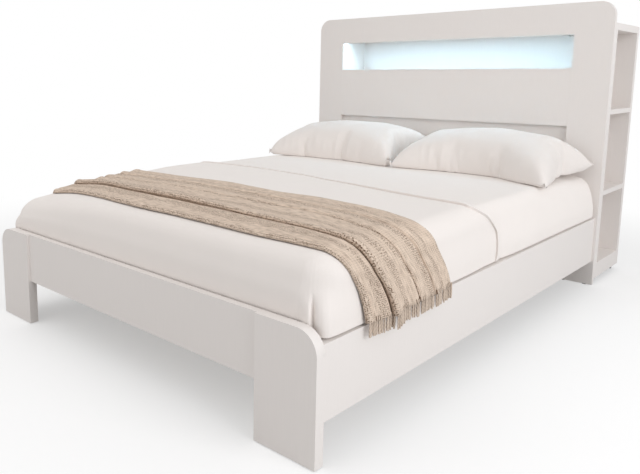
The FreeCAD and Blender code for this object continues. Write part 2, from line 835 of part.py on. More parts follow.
def make_power():
    top = "window_bottom + outlet_plate"
    plate = block("power_outlet_plate_blank", ("outlet_left", "outlet_right"),
                  ("outlet_front", "outlet_back"), ("window_bottom", top))
    slots = []
    for number, (share, upright) in enumerate(OUTLET_SLOT_SHARES, start=1):
        middle = f"outlet_left + outlet_length * {share}"
        half_x = "outlet_blade_width / 2" if upright else "outlet_slot_length / 2"
        half_y = "outlet_slot_length / 2" if upright else "outlet_slot_width / 2"
        slots.append(
            block(
                f"power_outlet_slot_{number}",
                (f"{middle} - {half_x}", f"{middle} + {half_x}"),
                (f"outlet_middle - {half_y}", f"outlet_middle + {half_y}"),
                ("window_bottom - overrun", f"{top} + overrun"),
            )
        )
    keep(cut("power_outlet_plate", plate, slots), "power_outlet_plate")
    board(
        "power_outlet_body",
        ("outlet_left + outlet_rim", "outlet_right - outlet_rim"),
        ("outlet_front + outlet_rim", "outlet_back - outlet_rim"),
        ("window_bottom - outlet_depth", "window_bottom"),
    )
    flange = inlet_block("power_inlet_flange", "inlet_rim", ("back_face - inlet_flange", "back_face"))
    shell = inlet_block("power_inlet_shell", "0", ("back_face - inlet_depth", "back_face"))
    recess = inlet_block("power_inlet_recess", "-inlet_rim",
                         ("back_face - inlet_recess", "back_face + overrun"))
    housing = cut("power_inlet_housing", fuse("power_inlet_blank", [flange, shell]), [recess])
    pins = [
        block(
            f"power_inlet_pin_{number + 2}",
            (f"{number} * pin_spacing - pin_width / 2", f"{number} * pin_spacing + pin_width / 2"),
            ("back_face - inlet_recess - pin_width", "back_face - pin_width"),
            ("inlet_level - pin_height / 2", "inlet_level + pin_height / 2"),
        )
        for number in (-1, 0, 1)
    ]
    keep(fuse("power_inlet", [housing] + pins), "power_inlet")


def formed(label, shape):
    """A piece whose shape is worked out here, from the sheet's sizes."""
    piece = document.addObject("Part::Feature", label)
    piece.Shape = shape
    piece.Placement = FreeCAD.Placement()
    return keep(piece, label)


def rounded_block(x_half, y_low, y_high, z_low, z_high, corner, edge, foot_only=False):
    """A block with round upright corners and round top edges, all given as numbers."""
    solid = Part.makeBox(2 * x_half, y_high - y_low, z_high - z_low, FreeCAD.Vector(-x_half, y_low, z_low))
    upright = [
        line for line in solid.Edges
        if abs(line.Vertexes[0].Z - line.Vertexes[1].Z) > edge
        and (not foot_only or line.Vertexes[0].Y < (y_low + y_high) / 2)
    ]
    solid = solid.makeFillet(corner, upright)
    top = [
        line for line in solid.Edges
        if min(vertex.Z for vertex in line.Vertexes) > z_high - edge / 2
        and (not foot_only or min(vertex.Y for vertex in line.Vertexes) < y_high - edge / 2)
    ]
    return solid.makeFillet(edge, top)


def grown_mattress(room, z_low):
    """The mattress block made larger by some room all round, from a height up."""
    return rounded_block(
        value("mattress_side") + room,
        value("mattress_foot") - room,
        value("mattress_head") + room,
        z_low,
        value("mattress_top") + room,
        value("mattress_corner_radius") + room,
        value("mattress_edge_radius") + room,
    )


# Mattress, the fitted sheet over it, and the bed cover, which bulges over the rails and is tucked in
# between the mattress and the frame.
def make_mattress():
    bottom = value("mattress_bottom")
    hem = bottom + value("sheet_room")
    beneath = bottom - value("mattress_height")
    formed("mattress", grown_mattress(0, bottom))
    formed("fitted_sheet",
           grown_mattress(value("sheet_room"), hem).cut(grown_mattress(value("soft_gap"), beneath)))
    head = value("cover_head")
    corner = value("mattress_corner_radius + cover_side_reach")
    bulge = rounded_block(
        value("cover_side"), value("cover_foot"), head + corner, value("cover_rest"), value("cover_top"),
        corner, value("cover_edge_radius"),
    )
    tuck = rounded_block(
        value("mattress_side + cover_room + cover_tuck_thickness"), value("cover_foot"), head + corner,
        value("cover_hem"), value("cover_top - cover_edge_radius"),
        value("mattress_corner_radius + cover_room"), value("cover_tuck_thickness"),
    )
    half = value("cover_side + overrun")
    beyond = Part.makeBox(2 * half, 2 * corner, value("cover_top"), FreeCAD.Vector(-half, head, 0))
    formed("bed_cover", bulge.fuse(tuck).cut(grown_mattress(value("cover_room"), beneath)).cut(beyond))


# Pillows: a crowned form that is drawn in between its corners and flat where it rests.
PILLOW_RISE_SHARES = (-1.0, -0.7, -0.3, 0.0, 0.22, 0.5, 0.76, 0.93, 1.0)
PILLOW_REACH_SHARES = (0.52, 0.76, 0.93, 1.0, 0.975, 0.89, 0.72, 0.5, 0.26)


def pillow_outline(reach, level):
    """One level line of a pillow: four sides that pull in and four round corners, as arcs."""
    half_x = value("pillow_length") / 2 * reach
    half_y = value("pillow_depth") / 2 * reach
    pull = value("pillow_side_pull") * reach
    radius = value("pillow_corner_radius")
    corners = [(1, -1), (1, 1), (-1, 1), (-1, -1)]
    points = []
    for sign_x, sign_y in corners:
        centre = FreeCAD.Vector(sign_x * (half_x - radius), sign_y * (half_y - radius), level)
        along_x = centre + FreeCAD.Vector(0, sign_y * radius)
        along_y = centre + FreeCAD.Vector(sign_x * radius, 0)
        tip = centre + FreeCAD.Vector(sign_x, sign_y).normalize() * radius
        first, last = (along_x, along_y) if sign_x == -sign_y else (along_y, along_x)
        points.append((first, tip, last))
    middles = [
        FreeCAD.Vector(half_x - pull, 0, level),
        FreeCAD.Vector(0, half_y - pull, level),
        FreeCAD.Vector(-half_x + pull, 0, level),
        FreeCAD.Vector(0, -half_y + pull, level),
    ]
    edges = []
    for number, (first, tip, last) in enumerate(points):
        following = points[(number + 1) % len(points)][0]
        edges.append(Part.Arc(first, tip, last).toShape())
        edges.append(Part.Arc(last, middles[number], following).toShape())
    return Part.Wire(edges)


def make_pillows():
    crown, belly = value("pillow_crown"), value("pillow_belly")
    rest = value("mattress_top + sheet_room + soft_gap")
    outlines = [
        pillow_outline(reach, rise * (crown if rise > 0 else belly))
        for rise, reach in zip(PILLOW_RISE_SHARES, PILLOW_REACH_SHARES)
    ]
    form = Part.makeLoft(outlines, True, False)
    tilt = math.degrees(math.atan(value("pillow_tilt_share")))
    middle_y = value("head_face - pillow_head_gap - pillow_depth / 2")
    seam_level = rest + value("pillow_front_lift + pillow_depth / 2 * pillow_tilt_share")
    for word, side in SIDES.items():
        middle_x = side * value("(pillow_length + pillow_gap) / 2")
        placed = form.copy()
        placed.Placement = FreeCAD.Placement(
            FreeCAD.Vector(middle_x, middle_y, seam_level), FreeCAD.Rotation(FreeCAD.Vector(1, 0, 0), tilt)
        )
        reach = value("pillow_length")
        under = Part.makeBox(2 * reach, 2 * reach, rest,
                             FreeCAD.Vector(middle_x - reach, middle_y - reach, 0))
        formed(f"pillow_{word}", placed.cut(under))


# Throw: laid across the foot in lengthwise ridges, hanging past both rails. It turns over the mattress
# edge in flat steps, and most of its narrowing is done where it passes the rail's top.
THROW_TURN_COUNT = 3
THROW_RAIL_SHARE = 0.7


def throw_station(centre, outward, width, ridge):
    """One cross-section of the throw: a straight inner side and a ridged outer side."""
    along = FreeCAD.Vector(0, 1, 0)
    base = value("throw_base")
    count = int(value("throw_ridge_count"))
    start = centre - along * (width / 2)
    pitch = width / count
    inner = [start, start + along * width]
    outer = [start + along * (pitch * number) + outward * base for number in range(count + 1)]
    edges = [Part.LineSegment(inner[0], outer[0]).toShape()]
    for number in range(count):
        top = (outer[number] + outer[number + 1]) / 2 + outward * ridge
        edges.append(Part.Arc(outer[number], top, outer[number + 1]).toShape())
    edges.append(Part.LineSegment(outer[-1], inner[1]).toShape())
    edges.append(Part.LineSegment(inner[1], inner[0]).toShape())
    return Part.Wire(edges)


def make_throw():
    up, right = FreeCAD.Vector(0, 0, 1), FreeCAD.Vector(1, 0, 0)
    gap = value("soft_gap")
    radius = value("cover_edge_radius") + gap
    turn_x = value("cover_side - cover_edge_radius")
    turn_z = value("cover_top - cover_edge_radius")
    hem_x = value("rail_outside + throw_side_gap")
    middle = value("cover_foot + throw_from_foot + throw_width / 2")
    shift = value("throw_hem_shift")
    wide, narrow = value("throw_width"), value("throw_hem_width")
    tall, low = value("throw_ridge"), value("throw_hem_ridge")
    turn = FreeCAD.Vector(turn_x, middle, turn_z)
    stations = []
    for step in range(THROW_TURN_COUNT + 1):
        angle = math.pi / 2 * step / THROW_TURN_COUNT
        outward = right * math.sin(angle) + up * math.cos(angle)
        reach = radius / math.cos(math.pi / 4 / THROW_TURN_COUNT)
        stations.append((turn + outward * reach, outward, wide, tall))
    over_rail = FreeCAD.Vector(hem_x, middle + shift, value("rail_top"))
    hem = FreeCAD.Vector(hem_x, middle + shift, value("rail_top - throw_hem_drop"))
    stations.append((over_rail, right, wide + (narrow - wide) * THROW_RAIL_SHARE, low))
    stations.append((hem, right, narrow, low))
    left = [
        (FreeCAD.Vector(-place.x, place.y, place.z), FreeCAD.Vector(-outward.x, 0, outward.z), width, ridge)
        for place, outward, width, ridge in reversed(stations)
    ]
    wires = [throw_station(*station) for station in left + stations]
    formed("throw_blanket", Part.makeLoft(wires, True, True))


make_footboard()
make_rails()
make_brackets()
make_slats()
make_centre_support()
make_floor_contacts()
make_headboard_front()
make_carcass()
make_towers()
make_niche()
make_power()
make_mattress()
make_pillows()
make_throw()
document.recompute()

# Every object has to be sound before anything is written.
for item in document.Objects:
    if {"Invalid", "Error"} & set(item.State):
        raise RuntimeError(f"{item.Label} failed: {item.State}")
for node in nodes:
    if node.Shape.isNull() or not node.Shape.isValid() or not node.Shape.Solids:
        raise RuntimeError(f"{node.Label} has no sound solid")

os.makedirs("parts", exist_ok=True)
for node in nodes:
    node.Shape.exportStep(f"parts/{node.Label}.step")
print(len(nodes), "pieces written")
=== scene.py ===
import math

import bmesh
import bpy
from bpy.props import FloatProperty, FloatVectorProperty, IntProperty, PointerProperty
from mathutils import Matrix, Vector, noise


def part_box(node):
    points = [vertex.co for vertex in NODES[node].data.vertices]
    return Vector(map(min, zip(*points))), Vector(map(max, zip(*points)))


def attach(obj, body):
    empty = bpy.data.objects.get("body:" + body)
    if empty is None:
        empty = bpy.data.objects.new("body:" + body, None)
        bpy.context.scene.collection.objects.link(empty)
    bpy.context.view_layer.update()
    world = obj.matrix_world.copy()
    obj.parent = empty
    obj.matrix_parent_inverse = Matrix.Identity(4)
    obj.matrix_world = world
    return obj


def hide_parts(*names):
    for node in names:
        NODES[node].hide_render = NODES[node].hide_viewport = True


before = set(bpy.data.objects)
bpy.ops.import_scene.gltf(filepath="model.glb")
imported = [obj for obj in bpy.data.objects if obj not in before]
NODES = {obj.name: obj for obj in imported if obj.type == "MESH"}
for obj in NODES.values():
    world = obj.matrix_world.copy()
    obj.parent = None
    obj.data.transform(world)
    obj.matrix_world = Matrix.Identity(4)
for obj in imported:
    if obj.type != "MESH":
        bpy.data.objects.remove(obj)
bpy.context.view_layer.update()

bl_info = {
    "name": "Storage headboard bed",
    "version": (1, 0, 0),
    "blender": (4, 5, 0),
    "location": "View3D > Sidebar > Bed",
    "description": "Dresses a panel bed with a lit niche: board finishes, mattress, bedding and a knitted throw",
    "category": "Object",
}

MM = 0.001
UP = Vector((0, 0, 1))
COVER_LOW, COVER_HIGH = (Vector(corner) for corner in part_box("bed_cover"))
SHEET_LOW, SHEET_HIGH = (Vector(corner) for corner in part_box("fitted_sheet"))
RAIL_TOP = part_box("side_rail_right")[1][2]
BOARD_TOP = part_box("footboard_panel")[1][2]


def linear(code):
    """An sRGB hex code as linear red, green and blue."""
    channels = [int(code[start : start + 2], 16) / 255 for start in (1, 3, 5)]
    return [c / 12.92 if c <= 0.04045 else ((c + 0.055) / 1.055) ** 2.4 for c in channels]


def toned(colour, share):
    return [channel * share for channel in colour]


def opaque(colour):
    return (*colour, 1)


def colour_property(name, code):
    return FloatVectorProperty(
        name=name, description=f"Colour of the {name.lower()}", subtype="COLOR", size=3, min=0, max=1,
        default=linear(code),
    )


def length_property(name, description, default):
    return FloatProperty(name=name, description=description, default=default, unit="LENGTH", min=0)


class BedColours(bpy.types.PropertyGroup):
    """The colours of the bed's finishes."""

    laminate: colour_property("White laminate", "#E9E3DF")
    cotton: colour_property("Bedding cotton", "#F1EAE5")
    knit: colour_property("Throw's yarn", "#D6C4B3")
    pine: colour_property("Pine", "#D8B88A")
    niche_light: colour_property("Niche light", "#BAE7FF")


class BeddingSizes(bpy.types.PropertyGroup):
    """The sizes of the bedding that lies on the mattress."""

    shoulder: length_property("Cover's shoulder", "Radius of the cover's top edge", 66 * MM)
    droop: length_property("Left droop", "How far the bedding falls at the left corner of the foot", 80 * MM)
    right_droop: length_property("Right droop", "How far the bedding falls at the right corner of the foot", 16 * MM)
    droop_reach: length_property("Droop's reach", "How far from the foot the fall begins", 750 * MM)
    throw_thickness: length_property("Throw's thickness", "Thickness of the knit", 4 * MM)
    fringe_length: length_property("Fringe length", "Length of a tassel below the hem", 38 * MM)
    fringe_count: IntProperty(name="Tassels", description="Tassels along each hem", default=60, min=2)
    pillow_pressure: FloatProperty(
        name="Pillow pressure", description="How hard the filling presses on the case", default=12, min=0
    )


class StageSettings(bpy.types.PropertyGroup):
    """The studio around the bed."""

    key_power: FloatProperty(name="Key light", description="Power of the large lamp at the right", default=94)
    fill_power: FloatProperty(name="Fill light", description="Power of the lamp at the foot", default=16)
    top_power: FloatProperty(name="Top light", description="Power of the lamp above the foot", default=6)
    sky: FloatProperty(name="Room light", description="Strength of the even light all round", default=0.69)


# Shader nodes.
def add_node(tree, kind, *values, links=None, **settings):
    """Add a shader node with its settings. Values go to its sockets in order and links to sockets by name or
    number; each is a plain value or another node's socket."""
    node = tree.nodes.new(kind)
    for name, value in settings.items():
        setattr(node, name, value)
    for socket, value in [*enumerate(values), *(links or {}).items()]:
        if isinstance(value, bpy.types.NodeSocket):
            tree.links.new(value, node.inputs[socket])
        else:
            node.inputs[socket].default_value = value
    return node


def new_material(name, **shader):
    """A material with a Principled shader whose plain values are set on its own sockets."""
    material = bpy.data.materials.new(name)
    material.use_nodes = True
    tree = material.node_tree
    surface = next(node for node in tree.nodes if node.type == "BSDF_PRINCIPLED")
    for socket, value in shader.items():
        surface.inputs[socket.replace("_", " ")].default_value = value
    return material, tree, surface


def object_place(tree, scale=(1, 1, 1)):
    """Object coordinates with a scale for each axis."""
    place = add_node(tree, "ShaderNodeTexCoord").outputs["Object"]
    return add_node(tree, "ShaderNodeMapping", links={"Vector": place, "Scale": scale}).outputs["Vector"]


def grained_place(tree, axis, length, width):
    """Object coordinates for a grain with a length along one axis and a width across it."""
    scale = [1 / width] * 3
    scale[axis] = 1 / length
    return object_place(tree, scale)


def spots(tree, place, size=1.0, **values):
    """Soft random spots of a size, from 0 to 1."""
    links = {"Vector": place, "Scale": 1 / size, **values}
    return add_node(tree, "ShaderNodeTexNoise", links=links).outputs["Fac"]


def bands(tree, place, direction, scale=0.32, **values):
    """Even bands across a direction, from 0 to 1; the usual scale gives one band in each unit of the place."""
    links = {"Vector": place, "Scale": scale, **values}
    return add_node(tree, "ShaderNodeTexWave", links=links, bands_direction=direction).outputs["Fac"]


def computed(tree, operation, *values):
    """One step of arithmetic."""
    return add_node(tree, "ShaderNodeMath", *values, operation=operation).outputs["Value"]


def ramped(tree, value, start, end, **settings):
    """How far a value is from a start to an end, from 0 to 1."""
    links = {"Value": value, "From Min": start, "From Max": end}
    return add_node(tree, "ShaderNodeMapRange", links=links, **settings).outputs["Result"]


def shaded(tree, surface, factor, low, high):
    """Vary a surface's colour between two linear colours."""
    colour_a, colour_b, result = 6, 7, 2
    links = {"Factor": factor, colour_a: opaque(low), colour_b: opaque(high)}
    mix = add_node(tree, "ShaderNodeMix", links=links, data_type="RGBA")
    tree.links.new(mix.outputs[result], surface.inputs["Base Color"])


def embossed(tree, surface, height, depth):
    """Emboss a surface by a height from 0 to 1, to a real depth."""
    bump = add_node(tree, "ShaderNodeBump", links={"Height": height, "Distance": depth, "Strength": 1.0})
    tree.links.new(bump.outputs["Normal"], surface.inputs["Normal"])


# Finishes of the boards and fittings.
def laminate(name, grain):
    """White melamine laminate, pressed on board: an even satin white with faint long pores along one axis."""
    pore_width, pore_length = 2.2 * MM, 90 * MM
    colour = bpy.context.scene.bed_colours.laminate
    material, tree, surface = new_material(name, Roughness=0.42, IOR=1.5)
    pores = spots(tree, grained_place(tree, grain, pore_length, pore_width), Detail=3.0, Roughness=0.6)
    faint = ramped(tree, pores, 0.35, 0.7)
    shaded(tree, surface, faint, toned(colour, 0.98), colour)
    embossed(tree, surface, faint, 0.04 * MM)
    return material


def pine(name, grain):
    """Planed pine: straw yellow with darker growth lines along the piece and a dry, matt face."""
    ring, drift, coarse = 9 * MM, 240 * MM, 0.35
    colour = bpy.context.scene.bed_colours.pine
    material, tree, surface = new_material(name, Roughness=0.62)
    place = grained_place(tree, grain, drift, ring)
    rings = bands(tree, place, "DIAGONAL", coarse, Distortion=3.0, Detail=2.0)
    lines = computed(tree, "MULTIPLY", rings, spots(tree, place, 1 / coarse, Detail=2.0))
    shaded(tree, surface, lines, colour, toned(colour, 0.62))
    embossed(tree, surface, lines, 0.15 * MM)
    return material


def powder_coat():
    """Black powder coat on steel plate: a fine orange peel with a low gloss."""
    peel = 1.4 * MM
    material, tree, surface = new_material("black_powder_coat", Base_Color=opaque(linear("#26272A")), Roughness=0.5)
    embossed(tree, surface, spots(tree, object_place(tree), peel), 0.08 * MM)
    return material


def zinc_plate():
    """Zinc plated steel: a pale grey metal, a little cloudy."""
    cloud = 5 * MM
    material, tree, surface = new_material("zinc_plate", Metallic=1.0, Roughness=0.34)
    shaded(tree, surface, spots(tree, object_place(tree), cloud), linear("#B5B8BA"), linear("#D3D5D6"))
    return material


def moulded(name, code, roughness):
    """Moulded plastic with the fine spark texture of its tool."""
    spark = 1.0 * MM
    colour = linear(code)
    material, tree, surface = new_material(name, Roughness=roughness)
    grain = spots(tree, object_place(tree), spark)
    shaded(tree, surface, grain, toned(colour, 0.94), colour)
    embossed(tree, surface, grain, 0.03 * MM)
    return material


def brushed_anodised():
    """Satin anodised aluminium profile, with the long fine lines of its extrusion along X."""
    line, length = 0.8 * MM, 200 * MM
    material, tree, surface = new_material("satin_anodised_aluminium", Metallic=1.0, Roughness=0.38)
    lines = spots(tree, grained_place(tree, 0, length, line), Detail=2.0)
    shaded(tree, surface, lines, linear("#B9BBBD"), linear("#D6D8D9"))
    embossed(tree, surface, lines, 0.02 * MM)
    return material


def opal_cover():
    """Opal polycarbonate, lit from behind by a cool white strip: the brightest face in the niche."""
    glow = bpy.context.scene.bed_colours.niche_light
    return new_material("lit_opal_polycarbonate", Base_Color=opaque(linear("#F4FBFF")), Roughness=0.35,
                        Emission_Color=opaque(glow), Emission_Strength=50.0)[0]


def circuit_strip():
    """Flexible white circuit strip with a lamp chip every 16 mm, which glows a little through its gel."""
    pitch = 16 * MM
    glow = bpy.context.scene.bed_colours.niche_light
    material, tree, surface = new_material("lamp_strip", Roughness=0.5, Emission_Color=opaque(glow),
                                           Emission_Strength=2.0)
    chips = bands(tree, object_place(tree, [1 / pitch] * 3), "X")
    shaded(tree, surface, chips, linear("#F1F1EE"), linear("#E8D9A0"))
    return material


def webbing():
    """Woven polypropylene tape, off-white, with its ribs across the tape every 2.5 mm, painted darker between the ribs
    as shade.
    """
    rib = 2.5 * MM
    material, tree, surface = new_material("polypropylene_webbing", Roughness=0.7)
    ribs = bands(tree, object_place(tree, [1 / rib] * 3), "Y")
    # Painted shade: darker between the ribs, lighter on them.
    shaded(tree, surface, ribs, linear("#C6C2BA"), linear("#E2DED6"))
    embossed(tree, surface, ribs, 0.3 * MM)
    return material


# Fabrics.
def percale(name, share=1.0, crease=0.35):
    """Percale cotton: a fine matt plain weave, drawn three times as coarse as it is so that it shows, with
    soft creases that pressing left in it, whose hollows are painted a little darker as shade."""
    thread, crease_width, weave_share = 0.9 * MM, 85 * MM, 0.02
    colour = toned(bpy.context.scene.bed_colours.cotton, share)
    material, tree, surface = new_material(name, Roughness=0.85, Sheen_Weight=0.12, Sheen_Roughness=0.5)
    checks = {"Vector": object_place(tree, [1 / thread] * 3), "Scale": 1.0}
    weave = add_node(tree, "ShaderNodeTexChecker", links=checks).outputs["Fac"]
    creases = spots(tree, object_place(tree), crease_width, Detail=3.0, Roughness=0.55, Distortion=0.4)
    # Painted shade: the cotton is 2.5 % darker in the hollows of the creases.
    shaded(tree, surface, creases, toned(colour, 0.975), colour)
    embossed(tree, surface, computed(tree, "MULTIPLY_ADD", creases, crease / weave_share, weave), 0.08 * MM)
    return material


def ticking():
    """Knitted mattress ticking: thick cream jersey with small quilted cells stitched through to its wadding, each
    painted darker towards its stitched edges as the shade in the hollows there.
    """
    cell, loop, cell_share = 45 * MM, 1.6 * MM, 8.0
    material, tree, surface = new_material("knitted_ticking", Roughness=0.9, Sheen_Weight=0.2)
    place = object_place(tree)
    quilting = {"Vector": place, "Scale": 1 / cell, "Randomness": 0.15, "Smoothness": 0.4}
    cells = add_node(tree, "ShaderNodeTexVoronoi", links=quilting, feature="SMOOTH_F1").outputs["Distance"]
    # Painted shade: each cell darkens towards the stitched hollows at its edge.
    shaded(tree, surface, cells, linear("#F0EDE6"), linear("#D9D3C7"))
    height = computed(tree, "MULTIPLY_ADD", cells, -cell_share, spots(tree, place, loop))
    embossed(tree, surface, height, 0.5 * MM)
    return material


def knitted(half):
    """Chunky cotton knit, coloured by its relief: bands of small eyelets painted dark as the shade where they are open,
    between bands of plain rows that show as fine lines of painted shade along the throw, and one open row at each
    hem, where the tassels are knotted, painted dark the same way; the raised loops are painted lighter as highlight."""
    stitch, row, band, tassel, open_row = 6 * MM, 4.6 * MM, 84 * MM, 9.4 * MM, 15 * MM
    yarn = bpy.context.scene.bed_colours.knit
    material, tree, surface = new_material("openwork_cotton_knit", Roughness=0.95, Specular_IOR_Level=0.12,
                                           Sheen_Weight=0.04, Sheen_Roughness=0.6)
    cloth = add_node(tree, "ShaderNodeUVMap", uv_map="cloth").outputs["UV"]

    def count(operation, *values):
        return computed(tree, operation, *values)

    def waves(value, length):
        return count("SINE", count("MULTIPLY", value, 2 * math.pi / length))

    def ramp(value, start, end):
        return ramped(tree, value, start, end, interpolation_type="SMOOTHSTEP")

    def clouds(along_size, across_size):
        scale = (1 / along_size, 1 / across_size, 1)
        place = add_node(tree, "ShaderNodeMapping", links={"Vector": cloth, "Scale": scale}).outputs["Vector"]
        links = {"Vector": place, "Scale": 1.0, "Detail": 2.0}
        return add_node(tree, "ShaderNodeTexNoise", links=links, noise_dimensions="2D").outputs["Fac"]

    parts = add_node(tree, "ShaderNodeSeparateXYZ", cloth).outputs
    along, across = parts["X"], parts["Y"]
    dots = {"Vector": cloth, "Scale": 1 / stitch, "Randomness": 0.75}
    eyes = add_node(tree, "ShaderNodeTexVoronoi", links=dots, voronoi_dimensions="2D").outputs["Distance"]
    shift = count("MULTIPLY_ADD", clouds(0.15, 0.04), 0.6, count("DIVIDE", across, band))
    open_band = ramp(waves(shift, 1), -0.2, 0.6)
    # Painted shade: the knit has no real holes, so its open eyelets and the hem's open row are coloured dark for the
    # shade inside them.
    eyelets = count("MULTIPLY", open_band, count("SUBTRACT", 1.0, ramp(eyes, 0.08, 0.34)))
    near_hem = ramp(count("ABSOLUTE", along), half - open_row - 2 * MM, half - open_row)
    loose = count("MULTIPLY", near_hem, ramp(clouds(1.0, 0.06), 0.42, 0.56))
    holes_painted_dark = count("MAXIMUM", eyelets, count("MULTIPLY", loose, ramp(waves(across, tassel), 0.1, 0.6)))
    lean = count("PINGPONG", count("DIVIDE", across, row), 0.5)
    loops = waves(count("MULTIPLY_ADD", along, 1 / stitch, lean), 1)
    speckle = count("MULTIPLY", count("SUBTRACT", clouds(3.4 * MM, 3.0 * MM), 0.5), open_band)
    height = count("MULTIPLY", clouds(0.03, row), 0.9)
    for relief, share in ((speckle, 1.2), (loops, 0.09), (waves(across, row), 0.13), (holes_painted_dark, -0.7)):
        height = count("MULTIPLY_ADD", relief, share, height)
    # Painted shade and highlight: the colour follows the relief, dark brown in the holes and between the rows, a
    # lightened yarn on the raised loops.
    shaded(tree, surface, ramp(height, -0.35, 0.75), linear("#6A503C"), toned(yarn, 1.16))
    embossed(tree, surface, height, 1.2 * MM)
    return material


def spun_yarn():
    """Plied cotton yarn: two threads twisted round each other, seen as slanting lines painted darker as shade in the
    grooves and lighter as highlight on the plies, a little fluffy.
    """
    twist = 3 * MM
    yarn = bpy.context.scene.bed_colours.knit
    material, tree, surface = new_material("plied_cotton_yarn", Roughness=0.95, Specular_IOR_Level=0.12,
                                           Sheen_Weight=0.08, Sheen_Roughness=0.6)
    place = object_place(tree, (1 / twist, 1 / twist, 0.6 / twist))
    ply_relief_and_shade = bands(tree, place, "DIAGONAL", 0.3, Distortion=0.6)
    # Painted shade in the grooves between the plies and painted highlight on their crowns.
    shaded(tree, surface, ply_relief_and_shade, toned(yarn, 0.72), toned(yarn, 1.1))
    embossed(tree, surface, ply_relief_and_shade, 0.5 * MM)
    return material


# Curves that the bedding follows.
def way(value, start, end):
    """How far a value is from a start to an end, from 0 to 1. The start may lie above the end."""
    return min(max((value - start) / (end - start), 0.0), 1.0)


def rise(value, start, end):
    """An even curve from 0 at a start to 1 at an end. The start may lie above the end."""
    share = way(value, start, end)
    return share * share * (3 - 2 * share)


def between(stops, value):
    """Read a smooth curve through stops, each a place and its height."""
    value = min(max(value, stops[0][0]), stops[-1][0])
    for index in range(len(stops) - 1):
        (start, low), (end, high) = stops[index], stops[index + 1]
        if value <= end:
            break
    before, after = stops[max(index - 1, 0)], stops[min(index + 2, len(stops) - 1)]
    span = end - start
    slope_in = (high - before[1]) / (end - before[0]) * span
    slope_out = (after[1] - low) / (after[0] - start) * span
    share = (value - start) / span
    bend = slope_in * share * (1 - share) ** 2 - slope_out * share * share * (1 - share)
    return low + (high - low) * rise(value, start, end) + bend


def settle(place):
    """How far the bedding falls near the foot: little in the middle, most at the left corner."""
    middle_fall = 3 * MM
    sizes = bpy.context.scene.bedding_sizes
    fade = way(place.y, COVER_LOW.y + sizes.droop_reach, COVER_LOW.y) ** 1.1
    across = place.x / COVER_HIGH.x
    corner_fall = sizes.droop if across < 0 else sizes.right_droop
    return fade * (middle_fall + corner_fall * across * across)


def lowered(place):
    """A point of the bedding after it has settled; below the footboard's top nothing moves."""
    return place - UP * settle(place) * rise(place.z, 0.35, COVER_HIGH.z)


def pressed(place):
    """A point of the mattress or sheet, moved down where the pillows' outer ends press on the top edge."""
    depth = 20 * MM
    return place - UP * depth * rise(abs(place.x), 0.6, 0.75) * rise(place.y, 0.3, 0.65) * rise(place.z, 0.42, 0.52)


def swollen(place):
    """A point of the filled cover, or of what lies on it, moved by the uneven filling."""
    ground = Vector((place.x, place.y, 0))
    swell = noise.noise(ground * 3.2) * 3 * MM + noise.noise(ground * 9) * 1.2 * MM
    return place + UP * swell * rise(place.z, 0.47, 0.53)


def over_rail(z):
    """How far the bedding at a height has come out of the gap and over the rail's top, from 0 to 1."""
    return rise(z, RAIL_TOP + 1 * MM, RAIL_TOP + 5 * MM)


def flare(z):
    """The lowest part of the bedding's side, which the tuck pushes out over the rail, from 0 to 1."""
    return over_rail(z) * rise(z, 0.46, 0.36)


# Making the pieces.
def place_object(name, data):
    """Put an object in the scene."""
    thing = bpy.data.objects.new(name, data)
    bpy.context.scene.collection.objects.link(thing)
    return thing


def finish_piece(piece, body, material, slot, *nodes):
    """Make an object a smooth piece that rides on a body and replaces CAD nodes."""
    piece.data.materials.append(material)
    piece.data.shade_smooth()
    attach(piece, body)
    if nodes:
        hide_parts(*nodes)


def rounded_block(low, high, corners, edge, steps, head_open=False, bottom_open=True):
    """A block with round upright corners, one radius for the foot and one for the head, and round top edges,
    cut into a grid so that it can be moved."""
    shape = bmesh.new()
    bmesh.ops.create_cube(shape, size=1.0)
    place = Matrix.Translation((low + high) / 2) @ Matrix.Diagonal((*(high - low), 1))
    bmesh.ops.transform(shape, matrix=place, verts=shape.verts)
    middle = (low.y + high.y) / 2
    for radius, at_head in zip(corners, (False, True)):
        uprights = [line for line in shape.edges if abs(line.verts[0].co.z - line.verts[1].co.z) > edge
                    and (line.verts[0].co.y > middle) == at_head]
        if radius:
            bmesh.ops.bevel(shape, geom=uprights, affect="EDGES", offset=radius, segments=12, profile=0.5,
                            material=-1)
    for is_open, outwards in ((head_open, Vector((0, 1, 0))), (bottom_open, -UP)):
        if is_open:
            faces = [face for face in shape.faces if face.normal.dot(outwards) > 0.9]
            bmesh.ops.delete(shape, geom=faces, context="FACES")
    levels = [(high.z, edge)] if bottom_open else [(high.z, edge), (low.z, edge / 2)]
    for level, radius in levels:
        rim = [line for line in shape.edges
               if line.is_manifold and all(abs(end.co.z - level) < MM / 10 for end in line.verts)]
        bmesh.ops.bevel(shape, geom=rim, affect="EDGES", offset=radius, segments=9, profile=0.5, material=-1)
    for axis, step in enumerate(steps):
        normal = Vector([0, 0, 0])
        normal[axis] = 1
        count = max(1, round((high[axis] - low[axis]) / step))
        for number in range(1, count):
            at = low[axis] + (high[axis] - low[axis]) * number / count
            bmesh.ops.bisect_plane(shape, geom=[*shape.verts, *shape.edges, *shape.faces],
                                   dist=step / 9, plane_co=normal * at, plane_no=normal)
    return shape


def cut(shape, place, across, inside):
    """Cut the faces of one region along a plane, for a crease or a seam."""
    faces = [face for face in shape.faces if inside(face.calc_center_median())]
    lines = {line for face in faces for line in face.edges}
    points = {point for face in faces for point in face.verts}
    bmesh.ops.bisect_plane(shape, geom=[*points, *lines, *faces], dist=MM / 2, plane_co=place, plane_no=across)


